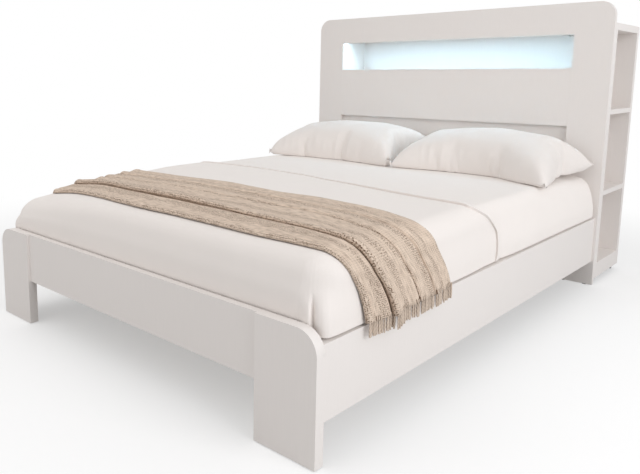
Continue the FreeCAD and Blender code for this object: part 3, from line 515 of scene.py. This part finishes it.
def cut_above_rails(shape):
    """Cut the bedding's sides just above the rails, where they bend out over them."""
    for height in (1, 3, 6):
        cut(shape, UP * (RAIL_TOP + height * MM), UP, lambda place: abs(place.x) > 0.7)


def to_object(shape, name, move=None):
    """Move a shape's points and put it in the scene with its faces outwards."""
    if move:
        for point in shape.verts:
            point.co = move(point.co)
    bmesh.ops.recalc_face_normals(shape, faces=shape.faces)
    mesh = bpy.data.meshes.new(name)
    shape.to_mesh(mesh)
    shape.free()
    return place_object(name, mesh)


def new_curve(name):
    curve = bpy.data.curves.new(name, "CURVE")
    curve.dimensions = "3D"
    return curve


def add_spline(curve, stops, resolution):
    """Add a smooth line to a curve, through stops that each have a place and a radius."""
    spline = curve.splines.new("NURBS")
    spline.points.add(len(stops) - 1)
    for point, (place, radius) in zip(spline.points, stops):
        point.co = (*place, 1)
        point.radius = radius
    spline.order_u = 3
    spline.use_endpoint_u = True
    spline.resolution_u = resolution


def curve_mesh(curve):
    """Turn a curve into a mesh."""
    holder = bpy.data.objects.new("line", curve)
    mesh = bpy.data.meshes.new_from_object(holder)
    bpy.data.objects.remove(holder)
    bpy.data.curves.remove(curve)
    return mesh


def thicken(piece, thickness, offset=-1.0):
    wall = piece.modifiers.new("thickness", "SOLIDIFY")
    wall.thickness = thickness
    wall.offset = offset


def subdivide(piece):
    finer = piece.modifiers.new("smooth", "SUBSURF")
    finer.levels = finer.render_levels = 1


def both(*stems):
    return [f"{stem}_{side}" for stem in stems for side in ("left", "right")]


def dress(names, material):
    """Give CAD nodes a material through their objects' own slots."""
    for name in names:
        for slot in NODES[name].material_slots:
            slot.link = "OBJECT"
            slot.material = material


def ease_edges(names, radius):
    """Give boards the small radius of their edge bands: the loose triangles are welded and the corners rounded."""
    for name in names:
        weld = NODES[name].modifiers.new("weld", "WELD")
        weld.merge_threshold = MM / 20
        edge = NODES[name].modifiers.new("edge", "BEVEL")
        edge.width = radius
        edge.segments = 2
        edge.limit_method = "ANGLE"
        edge.angle_limit = math.radians(40)


class BoardFinish(bpy.types.Operator):
    """Finish the boards of the footboard, rails and headboard in white laminate with eased edges"""

    bl_idname = "bed.board_finish"
    bl_label = "Boards"

    def execute(self, context):
        fronts = both("footboard_leg", "side_rail", "headboard_post", "tower_partition", "tower_front_upright",
                      "tower_back_upright", "tower_plinth")
        fronts += ["footboard_panel", "headboard_top_rail", "headboard_middle_panel", "headboard_lower_panel",
                   "headboard_back_panel", "niche_back"]
        flats = ["headboard_top_board", "headboard_bottom_board", "niche_floor"]
        shelves = both("tower_upper_shelf", "tower_lower_shelf", "tower_floor")
        dress(fronts, laminate("white_laminate_upright_grain", 2))
        dress(flats, laminate("white_laminate_grain_across", 0))
        dress(shelves, laminate("white_laminate_grain_back", 1))
        ease_edges(fronts + flats + shelves, radius=0.9 * MM)
        return {"FINISHED"}


class SupportFinish(bpy.types.Operator):
    """Finish the slats, beam, legs, brackets and fasteners that carry the mattress"""

    bl_idname = "bed.support_finish"
    bl_label = "Slats and supports"

    def execute(self, context):
        legs = ["centre_leg_foot", "centre_leg_middle", "centre_leg_head"]
        dress(["slats"], pine("planed_pine_across", 0))
        dress(["centre_beam"] + both("slat_ledge"), pine("planed_pine_along", 1))
        dress(legs + ["shelf_dowels"], pine("planed_pine_upright", 2))
        dress(["slat_straps"], webbing())
        dress(["rail_brackets", "beam_hanger_foot", "beam_hanger_head"], powder_coat())
        dress(["rail_bolts", "rail_screws", "hanger_screws"], zinc_plate())
        dress(["floor_glides", "headboard_feet"], moulded("grey_nylon_glides", "#6E6F70", 0.55))
        ease_edges(["slats", "centre_beam"] + legs + both("slat_ledge"), radius=1.5 * MM)
        return {"FINISHED"}


class NicheFinish(bpy.types.Operator):
    """Finish the niche's lamp, its channel and lead, and the power outlet and inlet"""

    bl_idname = "bed.niche_finish"
    bl_label = "Niche light and power"

    def execute(self, context):
        dress(["light_channel"], brushed_anodised())
        dress(["light_diffuser"], opal_cover())
        dress(["light_strip"], circuit_strip())
        dress(["light_driver", "light_lead", "power_outlet_body", "power_outlet_plate"],
              moulded("white_moulded_plastic", "#EFEFEC", 0.4))
        dress(["power_inlet"], moulded("black_moulded_plastic", "#1B1C1E", 0.45))
        return {"FINISHED"}


class MakeMattress(bpy.types.Operator):
    """Make the mattress: a block with soft edges in quilted ticking"""

    bl_idname = "bed.make_mattress"
    bl_label = "Mattress"

    def execute(self, context):
        foot_corner, head_corner, edge, step = 55 * MM, 34 * MM, 40 * MM, 60 * MM
        low, high = (Vector(corner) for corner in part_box("mattress"))
        shape = rounded_block(low, high, (foot_corner, head_corner), edge, [step] * 3, bottom_open=False)
        mattress = to_object(shape, "mattress_body", lambda point: lowered(pressed(point)))
        finish_piece(mattress, "mattress", ticking(), "ticking", "mattress")
        subdivide(mattress)
        return {"FINISHED"}


class MakeSheet(bpy.types.Operator):
    """Make the fitted sheet, which is stretched over the mattress and swells a little above the rails"""

    bl_idname = "bed.make_sheet"
    bl_label = "Fitted sheet"

    def execute(self, context):
        foot_corner, head_corner, edge = 56 * MM, 36 * MM, 41 * MM
        shape = rounded_block(SHEET_LOW, SHEET_HIGH, (foot_corner, head_corner), edge, [30 * MM, 30 * MM, 14 * MM])
        cut_above_rails(shape)
        sheet = to_object(shape, "cotton_fitted_sheet", self.plumped)
        finish_piece(sheet, "mattress", percale("white_percale_sheet"), "cotton_sheet", "fitted_sheet")
        thicken(sheet, 1.2 * MM)
        subdivide(sheet)
        return {"FINISHED"}

    def plumped(self, point):
        """A point of the sheet, whose sides swell over the rails, more so where the cover leaves them bare."""
        x, y, z = point
        above_rail = over_rail(z) * rise(z, 0.52, 0.43)
        bare, free = rise(y, -0.2, -0.05), rise(y, -0.23, -0.14)
        swell = (10 + 7 * bare) * MM * above_rail + (8 + 8 * free) * MM * flare(z)
        ripple = 1.5 * MM * noise.noise(point * 6) * above_rail
        out = swell * rise(abs(x), 0.68, SHEET_HIGH.x) + ripple
        return lowered(pressed(Vector((x + math.copysign(out, x), y, z))))


class MakeCover(bpy.types.Operator):
    """Make the filled cover, tucked in at the foot and sides, with a turned hem at the pillows' end"""

    bl_idname = "bed.make_cover"
    bl_label = "Bed cover"

    CORNER, HEM = 82 * MM, 30 * MM
    # How far the hem's edge lies back from the cover's head end: at places across the bed, and at heights up its
    # right side.
    HEAD_LINE = [(-0.784, 0.06), (-0.6, 0.04), (-0.308, 0.025), (-0.11, 0.049), (0.171, 0.109), (0.409, 0.157),
                 (0.54, 0.182), (0.65, 0.199), (0.747, 0.212), (0.784, 0.212)]
    SIDE_LINE = [(0.30, 0.078), (0.357, 0.067), (0.40, 0.065), (0.433, 0.07), (0.485, 0.134), (0.51, 0.18),
                 (0.53, 0.212)]
    # How full the turned hem is at distances from its edge, in widths of the hem.
    CUFF = [(0.0, 0.4), (0.15, 0.8), (0.4, 0.9), (0.85, 1.1), (0.93, 1.0), (1.0, -0.3), (1.07, -0.25), (1.2, 0.0),
            (1.3, 0.0)]
    TUCK_ANGLES = (5, 10, 15, 19, 22, 24.5, 26.5, 28, 29.5, 31, 33.5, 37, 42, 50, 60)

    def execute(self, context):
        shoulder = context.scene.bedding_sizes.shoulder
        shape = rounded_block(COVER_LOW, COVER_HIGH, (self.CORNER, 0), shoulder, [20 * MM, 20 * MM, 14 * MM],
                              head_open=True)
        for share in (0.15, 0.4, 0.7, 0.85, 0.93, 1.0, 1.07, 1.2):
            edge = Vector((0, COVER_HIGH.y - self.HEM * share, 0))
            cut(shape, edge, Vector((0, 1, 0)), lambda place: place.y > -0.2)
        cut_above_rails(shape)
        for side in (-1, 1):
            axis = Vector((side * (COVER_HIGH.x - self.CORNER), COVER_LOW.y + self.CORNER, 0))
            for angle in self.TUCK_ANGLES:
                turn = math.radians(angle)
                across = Vector((side * math.cos(turn), math.sin(turn), 0))
                cut(shape, axis, across, lambda place: place.x * side > 0.66 and place.y < -1.07)
        cover = to_object(shape, "filled_cotton_cover", self.tucked)
        finish_piece(cover, "mattress", percale("brushed_cotton_cover", 0.985), "quilted_cotton", "bed_cover")
        thicken(cover, 5 * MM)
        subdivide(cover)
        return {"FINISHED"}

    def corner_out(self, turn, z):
        """How far a foot corner stands out at a direction and a height: a tuck whose crease turns in, and above
        the rail a squarer corner."""
        puff, crease, crease_at, crease_width = 7 * MM, 11 * MM, 29.5, 2.5
        angle = math.degrees(turn)
        tuck = puff * rise(angle, 4, 20) * rise(angle, 28, 25)
        tuck -= crease * math.exp(-(((angle - crease_at) / crease_width) ** 2))
        square = (math.cos(turn) ** 8 + math.sin(turn) ** 8) ** -0.125 - 1
        return (tuck * rise(z, 0.29, 0.32) * rise(z, 0.44, 0.39)
                + self.CORNER * square * over_rail(z) * rise(z, 0.48, 0.36))

    def tucked(self, point):
        """A point of the cover after its sides and foot are tucked in, its hem is turned and its filling swells."""
        gap_inset, rail_flare, foot_roll, head_inset = 19.4 * MM, 8 * MM, 11 * MM, 6 * MM
        hem_side, hem_edge, side_waves, foot_creases = 6 * MM, 6 * MM, 2 * MM, 3.5 * MM
        x, y, z = point
        side = math.copysign(1, x)
        in_side = way(abs(x), COVER_HIGH.x - self.CORNER, COVER_HIGH.x)
        in_foot = way(y, COVER_LOW.y + self.CORNER, COVER_LOW.y)
        if in_side and in_foot:
            out = Vector((in_side, in_foot)) * self.CORNER
            fold = self.corner_out(math.atan2(out.x, out.y), z) / max(out.length, MM)
            x += side * out.x * fold
            y -= out.y * fold
        x += side * in_side * (rail_flare * flare(z) - gap_inset * (1 - over_rail(z)))
        foot_height = rise(z, BOARD_TOP - 27 * MM, BOARD_TOP + 3 * MM) * rise(z, 0.49, 0.42)
        y -= in_foot * (1 - in_side) * foot_roll * foot_height
        x -= side * in_side * head_inset * rise(y, -0.45, -0.2)
        from_head = (COVER_HIGH.y - y) / self.HEM
        turned = between(self.CUFF, from_head)
        z += (3 + 4 * rise(x, -0.1, 0.5)) * MM * turned * rise(z, 0.45, 0.51)
        y -= hem_edge * rise(from_head, 1.0, 0.93)
        x += side * in_side * hem_side * turned * rise(z, RAIL_TOP, RAIL_TOP + 20 * MM)
        on_right_side = x > 0.74 and point.z < 0.53
        back = between(self.SIDE_LINE, point.z) if on_right_side else between(self.HEAD_LINE, x)
        y -= back * rise(point.y, -0.6, -0.12)
        soft = Vector((x, y, z))
        soft.x += side * in_side * side_waves * noise.noise(soft * 5) * rise(z, 0.34, 0.39)
        creased = max(noise.noise(Vector((x * 9 + y * 22, y * 9 - x * 22, z * 20))), 0)
        soft.z += foot_creases * creased * in_side * rise(z, 0.47, 0.51) * rise(y, -1.09, -1.14)
        return lowered(swollen(soft))


class MakePillows(bpy.types.Operator):
    """Make the two pillows: flat cotton cases, filled by a cloth simulation and laid on the sheet"""

    bl_idname = "bed.make_pillows"
    bl_label = "Pillows"

    # The cases are cut larger than the pillows' boxes, because the filling draws them in.
    SPARE_WIDTH, SPARE_LENGTH = 1.05, 1.07

    def execute(self, context):
        # Painted shade: the pillowcases are a copy of the sheet's cotton made 6 % darker, for the shade on the pillows'
        # fronts.
        cotton = percale("white_percale_pillowcase", 0.94, 0.5)
        for seed, name in enumerate(["pillow_left", "pillow_right"]):
            low, high = (Vector(corner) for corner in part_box(name))
            width, length = high.x - low.x, high.y - low.y
            case = self.sewn_case(name + "_case", width, length, seed)
            flat = [(2 * point.co.x / width / self.SPARE_WIDTH, 2 * point.co.y / length / self.SPARE_LENGTH)
                    for point in case.data.vertices]
            self.fill(case)
            self.soften(case.data, flat)
            self.lay(case.data, low, high)
            self.wrinkle(case.data, flat, low, high, seed)
            finish_piece(case, name, cotton, "cotton_sheet", name)
            subdivide(case)
        return {"FINISHED"}

    def sewn_case(self, name, width, length, seed):
        """Two cotton sheets of one size, sewn along their edges, a little apart in the middle."""
        shape = bmesh.new()
        for face in (1, -1):
            sheet = bmesh.ops.create_grid(shape, x_segments=74, y_segments=48, size=0.5)["verts"]
            for point in sheet:
                x, y = point.co.x, point.co.y
                crown = (1 - (2 * x) ** 2) * (1 - (2 * y) ** 2)
                loose = 0.2 * noise.noise(Vector((x * 4, y * 4, seed * 7 + face)))
                height = 6 * MM * crown * (1 + loose)
                point.co = (x * width * self.SPARE_WIDTH, y * length * self.SPARE_LENGTH, face * height)
        bmesh.ops.remove_doubles(shape, verts=shape.verts, dist=MM / 10)
        return to_object(shape, name)

    def fill(self, case):
        """Press the case outwards from inside with cloth simulation, without gravity, and keep the result."""
        last_frame = 40
        scene = bpy.context.scene
        cloth = case.modifiers.new("filling", "CLOTH")
        settings = {"quality": 5, "mass": 0.3, "tension_stiffness": 60, "compression_stiffness": 40,
                    "shear_stiffness": 8, "bending_stiffness": 3, "air_damping": 3, "use_pressure": True,
                    "uniform_pressure_force": scene.bedding_sizes.pillow_pressure}
        for name, value in settings.items():
            setattr(cloth.settings, name, value)
        cloth.settings.effector_weights.gravity = 0
        cloth.collision_settings.use_collision = False
        cloth.point_cache.frame_start, cloth.point_cache.frame_end = 1, last_frame
        for number in range(1, last_frame + 1):
            scene.frame_set(number)
        filled = bpy.data.meshes.new_from_object(case.evaluated_get(bpy.context.evaluated_depsgraph_get()))
        case.modifiers.clear()
        case.data = filled
        scene.frame_set(1)

    def soften(self, mesh, flat):
        """Take the sharp creases out of the filled case, but not out of its seam."""
        shape = bmesh.new()
        shape.from_mesh(mesh)
        shape.verts.ensure_lookup_table()
        inner = [shape.verts[index] for index, place in enumerate(flat) if max(map(abs, place)) < 0.999]
        for _ in range(14):
            bmesh.ops.smooth_vert(shape, verts=inner, factor=0.5, use_axis_x=True, use_axis_y=True, use_axis_z=True)
        shape.to_mesh(mesh)
        shape.free()

    def lay(self, mesh, low, high):
        """Size the filled case as its place asks and flatten it on the sheet."""
        tilt, belly, crest, seam_fall, end_out = 0.07, 35 * MM, 160 * MM, 4 * MM, 24 * MM
        points = [vertex.co for vertex in mesh.vertices]
        spans = [max(abs(point[axis]) for point in points) for axis in (0, 1)]
        crown = max(point.z for point in points)
        middle = (low + high) / 2
        half = (high - low) / 2
        outer = math.copysign(1, middle.x)
        # The right pillow's front corner is drawn towards the foot at its outer end, and hangs.
        drawn_out, droop, inner_fullness = (100 * MM, 8 * MM, 0.1) if outer > 0 else (0, -6 * MM, 0.3)
        for vertex in mesh.vertices:
            x, y, z = vertex.co
            x, y = x / spans[0] * half.x, y / spans[1] * half.y
            across, along = x / half.x, y / half.y
            inner = rise(-outer * across, 0, 1) * rise(along, -0.9, -0.1)
            front, end = rise(-along, 0, 1), rise(outer * across, 0, 1)
            fullness = 0.2 * front + inner_fullness * inner
            share = min(abs(z) / crown, 1.0) ** (0.8 - fullness)
            z = share * crest if z > 0 else -belly * math.tanh(share * crest / belly)
            z += low.z + belly + tilt * y - droop * (across * along) ** 4
            z -= seam_fall * max(abs(across), abs(along)) ** 8
            vertex.co = (middle.x + x + outer * end_out * end, middle.y + y - drawn_out * end * front,
                         max(z, low.z + MM))
        mesh.update()

    def wrinkle(self, mesh, flat, low, high, seed):
        """Pucker the laid case along its seam and let its faces drift a little in and out."""
        depth, reach, seam, drift_depth = 7.5 * MM, 100 * MM, 14 * MM, 2.5 * MM
        half = (high - low) / 2
        normals = [vertex.normal.copy() for vertex in mesh.vertices]
        for vertex, normal, (u, v) in zip(mesh.vertices, normals, flat):
            from_side, from_end = (1 - abs(u)) * half.x, (1 - abs(v)) * half.y
            inwards = min(from_side, from_end)
            along = u * half.x if from_end < from_side else v * half.y + 5
            puckers = 0.6 * noise.noise(Vector((along * 22, inwards * 7, seed * 3.0)))
            puckers += 0.7 * noise.noise(Vector((along * 55, inwards * 9, seed * 5.0)))
            fade = rise(inwards, 0, seam) * math.exp(-inwards / reach) * (1 - abs(u * v) ** 5)
            drift = drift_depth * noise.noise(Vector((u * 2.4, v * 1.6, seed + 2.0)))
            vertex.co += normal * (depth * puckers * fade + drift)
            vertex.co.z = max(vertex.co.z, low.z + MM)


class MakeThrow(bpy.types.Operator):
    """Make the knitted throw, gathered across the foot of the bed, with tassels along both its hems"""

    bl_idname = "bed.make_throw"
    bl_label = "Throw and fringe"

    # The gathered cloth's section, from its foot edge to its head edge: thousandths of the way, and millimetres over
    # the cover.
    FOLDS = [
        (0, 1), (2, 7), (10, 11), (30, 12), (42, 7), (56, 11), (100, 12), (150, 13), (190, 15), (212, 14), (226, 10),
        (230, 1), (262, 1), (262, 14), (244, 20), (248, 29), (268, 30), (290, 27), (330, 20), (380, 13), (430, 11),
        (480, 13), (520, 16), (540, 15), (550, 3), (568, 2), (570, 14), (600, 20), (640, 16), (680, 11), (720, 14),
        (734, 12), (740, 2), (756, 2), (760, 14), (780, 18), (820, 14), (860, 8), (900, 11), (950, 12), (985, 9),
        (998, 5), (1000, 1),
    ]
    # Where its foot edge and its head edge lie along the bed, at distances from the throw's middle.
    FOOT_LINE = [
        (-0.97, -0.99), (-0.82, -1.0), (-0.74, -1.03), (-0.70, -1.048), (-0.6, -1.042), (-0.5, -1.052), (-0.4, -1.074),
        (-0.3, -1.098), (-0.2, -1.118), (-0.1, -1.132), (0.0, -1.137), (0.2, -1.134), (0.5, -1.134), (0.6, -1.125),
        (0.7, -1.118), (0.74, -1.115), (0.78, -1.10), (0.82, -1.08), (0.85, -1.063), (0.88, -1.052), (0.97, -1.03),
    ]
    HEAD_LINE = [
        (-0.97, -0.51), (-0.82, -0.54), (-0.74, -0.585), (-0.68, -0.606), (-0.5, -0.608), (-0.2, -0.617), (0.1, -0.619),
        (0.3, -0.618), (0.5, -0.636), (0.6, -0.652), (0.66, -0.675), (0.70, -0.690), (0.73, -0.702), (0.76, -0.697),
        (0.78, -0.685), (0.82, -0.662), (0.88, -0.624), (0.92, -0.604), (0.97, -0.585),
    ]
    # The share of the way at which the deep fold lies, along the throw and in the section above.
    DEEP_FOLD = [(-0.97, 0.21), (-0.7, 0.25), (-0.4, 0.26), (0.0, 0.257), (0.3, 0.232), (0.5, 0.252), (0.66, 0.225),
                 (0.74, 0.197), (0.79, 0.18), (0.84, 0.195), (0.97, 0.23)]
    DEEP_SHARE = 0.245
    WIDTH, HEM_HEIGHT = 0.5, 0.329
    # A tassel's fall below the hem, in tassel lengths, and its radius in millimetres.
    TASSEL = [(-0.28, 1.9), (0.05, 2.3), (0.3, 2.8), (0.7, 3.3), (1.0, 2.4)]

    def execute(self, context):
        sizes = context.scene.bedding_sizes
        self.gap = 1.5 * MM
        self.reach = COVER_HIGH.x - sizes.shoulder
        self.radius = sizes.shoulder + self.gap
        self.bend = self.radius * math.pi / 2
        self.half = self.reach + self.bend + COVER_HIGH.z - sizes.shoulder - self.HEM_HEIGHT
        folds = self.fold_line()
        shape = bmesh.new()
        grid = bmesh.ops.create_grid(shape, x_segments=190, y_segments=len(folds) - 1, size=0.5)["verts"]
        cloth = shape.loops.layers.uv.new("cloth")
        lengths = [0.0]
        for before, after in zip(folds, folds[1:]):
            lengths.append(lengths[-1] + math.hypot((after[0] - before[0]) * self.WIDTH, after[1] - before[1]))
        flat = {}
        for point in grid:
            along = point.co.x * 2 * self.half
            row = round((point.co.y + 0.5) * (len(folds) - 1))
            flat[point] = (along, lengths[row])
            point.co = self.laid(along, *folds[row])
        for face in shape.faces:
            for loop in face.loops:
                loop[cloth].uv = flat[loop.vert]
        throw = to_object(shape, "knitted_throw")
        finish_piece(throw, "throw", knitted(self.half), "beige_knit", "throw_blanket")
        thicken(throw, sizes.throw_thickness, 1.0)
        self.tassels(folds, lengths)
        return {"FINISHED"}

    def fold_line(self):
        """The throw's folds across its width: a smooth line through their tops and hollows."""
        line = new_curve("fold_line")
        add_spline(line, [((share / 1000, height / 1000, 0), 1) for share, height in self.FOLDS], 5)
        mesh = curve_mesh(line)
        folds = [(vertex.co.x, vertex.co.y) for vertex in mesh.vertices]
        bpy.data.meshes.remove(mesh)
        return folds

    def laid(self, along, share, height):
        """The place of a point of the throw: along it from its middle, across it, and up from the cover."""
        past = max(abs(along) - self.reach, 0.0)
        turn = min(past / self.radius, math.pi / 2)
        out, up = math.sin(turn), math.cos(turn)
        x = min(abs(along), self.reach) + self.radius * out
        z = COVER_HIGH.z + self.gap - self.radius * (1 - up) - max(past - self.bend, 0.0)
        hanging = rise(z, 0.48, 0.34)
        crease, deep = between(self.DEEP_FOLD, along), self.DEEP_SHARE
        share = share * crease / deep if share < deep else crease + (share - deep) * (1 - crease) / (1 - deep)
        wander = 0.02 * noise.noise(Vector((along * 2.2, share * 2.0, 4.0)))
        foot, head = between(self.FOOT_LINE, along), between(self.HEAD_LINE, along)
        y = foot + (head - foot) * (share + wander * share * (1 - share) * 4)
        swell = 0.85 + 0.3 * noise.noise(Vector((along * 3.0, share * 9.0, 1.0)))
        swell += 0.35 * hanging + 0.15 * rise(-along, 0.3, 1.3)
        lift = height * swell + hanging * 13 * MM
        return lowered(swollen(Vector((math.copysign(x + out * lift, along), y, z + up * lift))))

    def tassels(self, folds, lengths):
        """Tassels along both hems: thick twisted yarns that hang side by side from the last row of stitches."""
        sizes = bpy.context.scene.bedding_sizes
        yarns = new_curve("throw_fringe")
        yarns.bevel_depth = 1.0
        yarns.bevel_resolution = 1
        yarns.use_fill_caps = True
        for side in (-1, 1):
            for count in range(sizes.fringe_count):
                share = (count + 0.5) / sizes.fringe_count
                row = min(range(len(folds)), key=lambda index: abs(lengths[index] - share * lengths[-1]))
                top = self.laid(side * self.half, folds[row][0], max(folds[row][1], 9 * MM))
                sway = Vector([noise.noise(Vector((count * 0.73, axis * 9, side))) for axis in range(3)])
                length = sizes.fringe_length * (1 + 0.14 * sway.x)
                out = (1 if count % 3 == 1 else 2.5) * MM
                stops = []
                for fall, thick in self.TASSEL:
                    hang = Vector((side * (out + sway.y * fall * 3 * MM), sway.z * fall * 7 * MM, -length * fall))
                    stops.append((top + hang, thick * MM))
                add_spline(yarns, stops, 2)
        finish_piece(place_object("throw_fringe", curve_mesh(yarns)), "throw", spun_yarn(), "beige_knit")


class MakeStage(bpy.types.Operator):
    """Set up the plain floor, the soft studio light and the camera"""

    bl_idname = "bed.make_stage"
    bl_label = "Stage"

    def execute(self, context):
        settings = context.scene.stage_settings
        self.floor()
        self.sky(settings.sky)
        self.lamp("key_light", (4.6, -0.9, 2.0), (0.0, -0.2, 0.4), 3.0, settings.key_power, (0.96, 0.975, 1.0))
        self.lamp("fill_light", (-0.9, -3.7, 2.2), (0.0, -0.8, 0.3), 3.0, settings.fill_power, (1.0, 0.965, 0.95))
        self.lamp("top_light", (-1.0, -1.4, 2.7), (-0.6, -1.1, 0.5), 2.0, settings.top_power)
        self.camera()
        context.scene.view_settings.view_transform = "Standard"
        return {"FINISHED"}

    def floor(self):
        """A pale matt floor that fades into the white background away from the bed."""
        half_width, fade_start, fade_end = 20, 1.6, 3.2
        shape = bmesh.new()
        bmesh.ops.create_grid(shape, x_segments=1, y_segments=1, size=half_width)
        plane = to_object(shape, "studio_floor")
        material = bpy.data.materials.new("white_studio_floor")
        material.use_nodes = True
        tree = material.node_tree
        tree.nodes.clear()
        place = add_node(tree, "ShaderNodeTexCoord").outputs["Object"]
        away = add_node(tree, "ShaderNodeVectorMath", place, operation="LENGTH").outputs["Value"]
        fade = ramped(tree, away, fade_start, fade_end, interpolation_type="SMOOTHSTEP")
        paint = add_node(tree, "ShaderNodeBsdfDiffuse", links={"Color": (0.6, 0.6, 0.6, 1)}).outputs[0]
        glow = add_node(tree, "ShaderNodeEmission", links={"Strength": 0.4}).outputs[0]
        white = add_node(tree, "ShaderNodeEmission", links={"Strength": 1.0}).outputs[0]
        near = add_node(tree, "ShaderNodeAddShader", paint, glow).outputs[0]
        seen = add_node(tree, "ShaderNodeMixShader", fade, near, white).outputs[0]
        to_camera = add_node(tree, "ShaderNodeLightPath").outputs["Is Camera Ray"]
        chosen = add_node(tree, "ShaderNodeMixShader", to_camera, paint, seen).outputs[0]
        add_node(tree, "ShaderNodeOutputMaterial", chosen)
        plane.data.materials.append(material)

    def sky(self, strength):
        """An even pale light all round, seen as plain white."""
        world = bpy.data.worlds.new("white_studio")
        bpy.context.scene.world = world
        world.use_nodes = True
        tree = world.node_tree
        tree.nodes.clear()
        rays = add_node(tree, "ShaderNodeLightPath").outputs
        seen = computed(tree, "MAXIMUM", rays["Is Camera Ray"], rays["Is Glossy Ray"])
        seen = computed(tree, "MAXIMUM", seen, rays["Is Transmission Ray"])
        levels = {"Value": seen, "To Min": strength, "To Max": 1.0}
        level = add_node(tree, "ShaderNodeMapRange", links=levels).outputs["Result"]
        light = add_node(tree, "ShaderNodeBackground", (1, 1, 1, 1), level).outputs[0]
        add_node(tree, "ShaderNodeOutputWorld", light)

    def lamp(self, name, place, target, size, power, colour=(1, 1, 1)):
        light = bpy.data.lights.new(name, "AREA")
        light.shape = "SQUARE"
        light.size = size
        light.energy = power
        light.color = colour
        holder = place_object(name, light)
        holder.location = place
        holder.rotation_euler = (Vector(target) - Vector(place)).to_track_quat("-Z", "Y").to_euler()

    def camera(self):
        """The camera that fits the photograph's perspective, in metres and radians."""
        stand, yaw, pitch, roll = (1.7013, -2.4241, 0.9545), 0.7739, 0.1595, 0.0031
        lens = bpy.data.cameras.new("camera")
        lens.sensor_width = 36
        lens.lens = 37.094
        lens.shift_x, lens.shift_y = 0.1256, -0.0840
        turn = Matrix.Rotation(yaw, 4, "Z") @ Matrix.Rotation(math.pi / 2 - pitch, 4, "X")
        holder = place_object("camera", lens)
        holder.matrix_world = Matrix.Translation(stand) @ turn @ Matrix.Rotation(roll, 4, "Z")
        bpy.context.scene.camera = holder


STEPS = [BoardFinish, SupportFinish, NicheFinish, MakeMattress, MakeSheet, MakeCover, MakePillows, MakeThrow, MakeStage]
SETTINGS = {"bed_colours": BedColours, "bedding_sizes": BeddingSizes, "stage_settings": StageSettings}


class BedPanel(bpy.types.Panel):
    """The steps that dress the bed, in order, and what they are set to"""

    bl_idname = "VIEW3D_PT_storage_bed"
    bl_label = "Storage headboard bed"
    bl_space_type = "VIEW_3D"
    bl_region_type = "UI"
    bl_category = "Bed"

    def draw(self, context):
        for name, group in SETTINGS.items():
            box = self.layout.box()
            for setting in group.__annotations__:
                box.prop(getattr(context.scene, name), setting)
        for step in STEPS:
            self.layout.operator(step.bl_idname)


def register():
    for kind in [*SETTINGS.values(), *STEPS, BedPanel]:
        bpy.utils.register_class(kind)
    for name, group in SETTINGS.items():
        setattr(bpy.types.Scene, name, PointerProperty(type=group))


def unregister():
    for name in SETTINGS:
        delattr(bpy.types.Scene, name)
    for kind in [BedPanel, *reversed(STEPS), *SETTINGS.values()]:
        bpy.utils.unregister_class(kind)


def main():
    register()
    for step in STEPS:
        group, name = step.bl_idname.split(".")
        getattr(getattr(bpy.ops, group), name)()


if __name__ == "__main__":
    main()
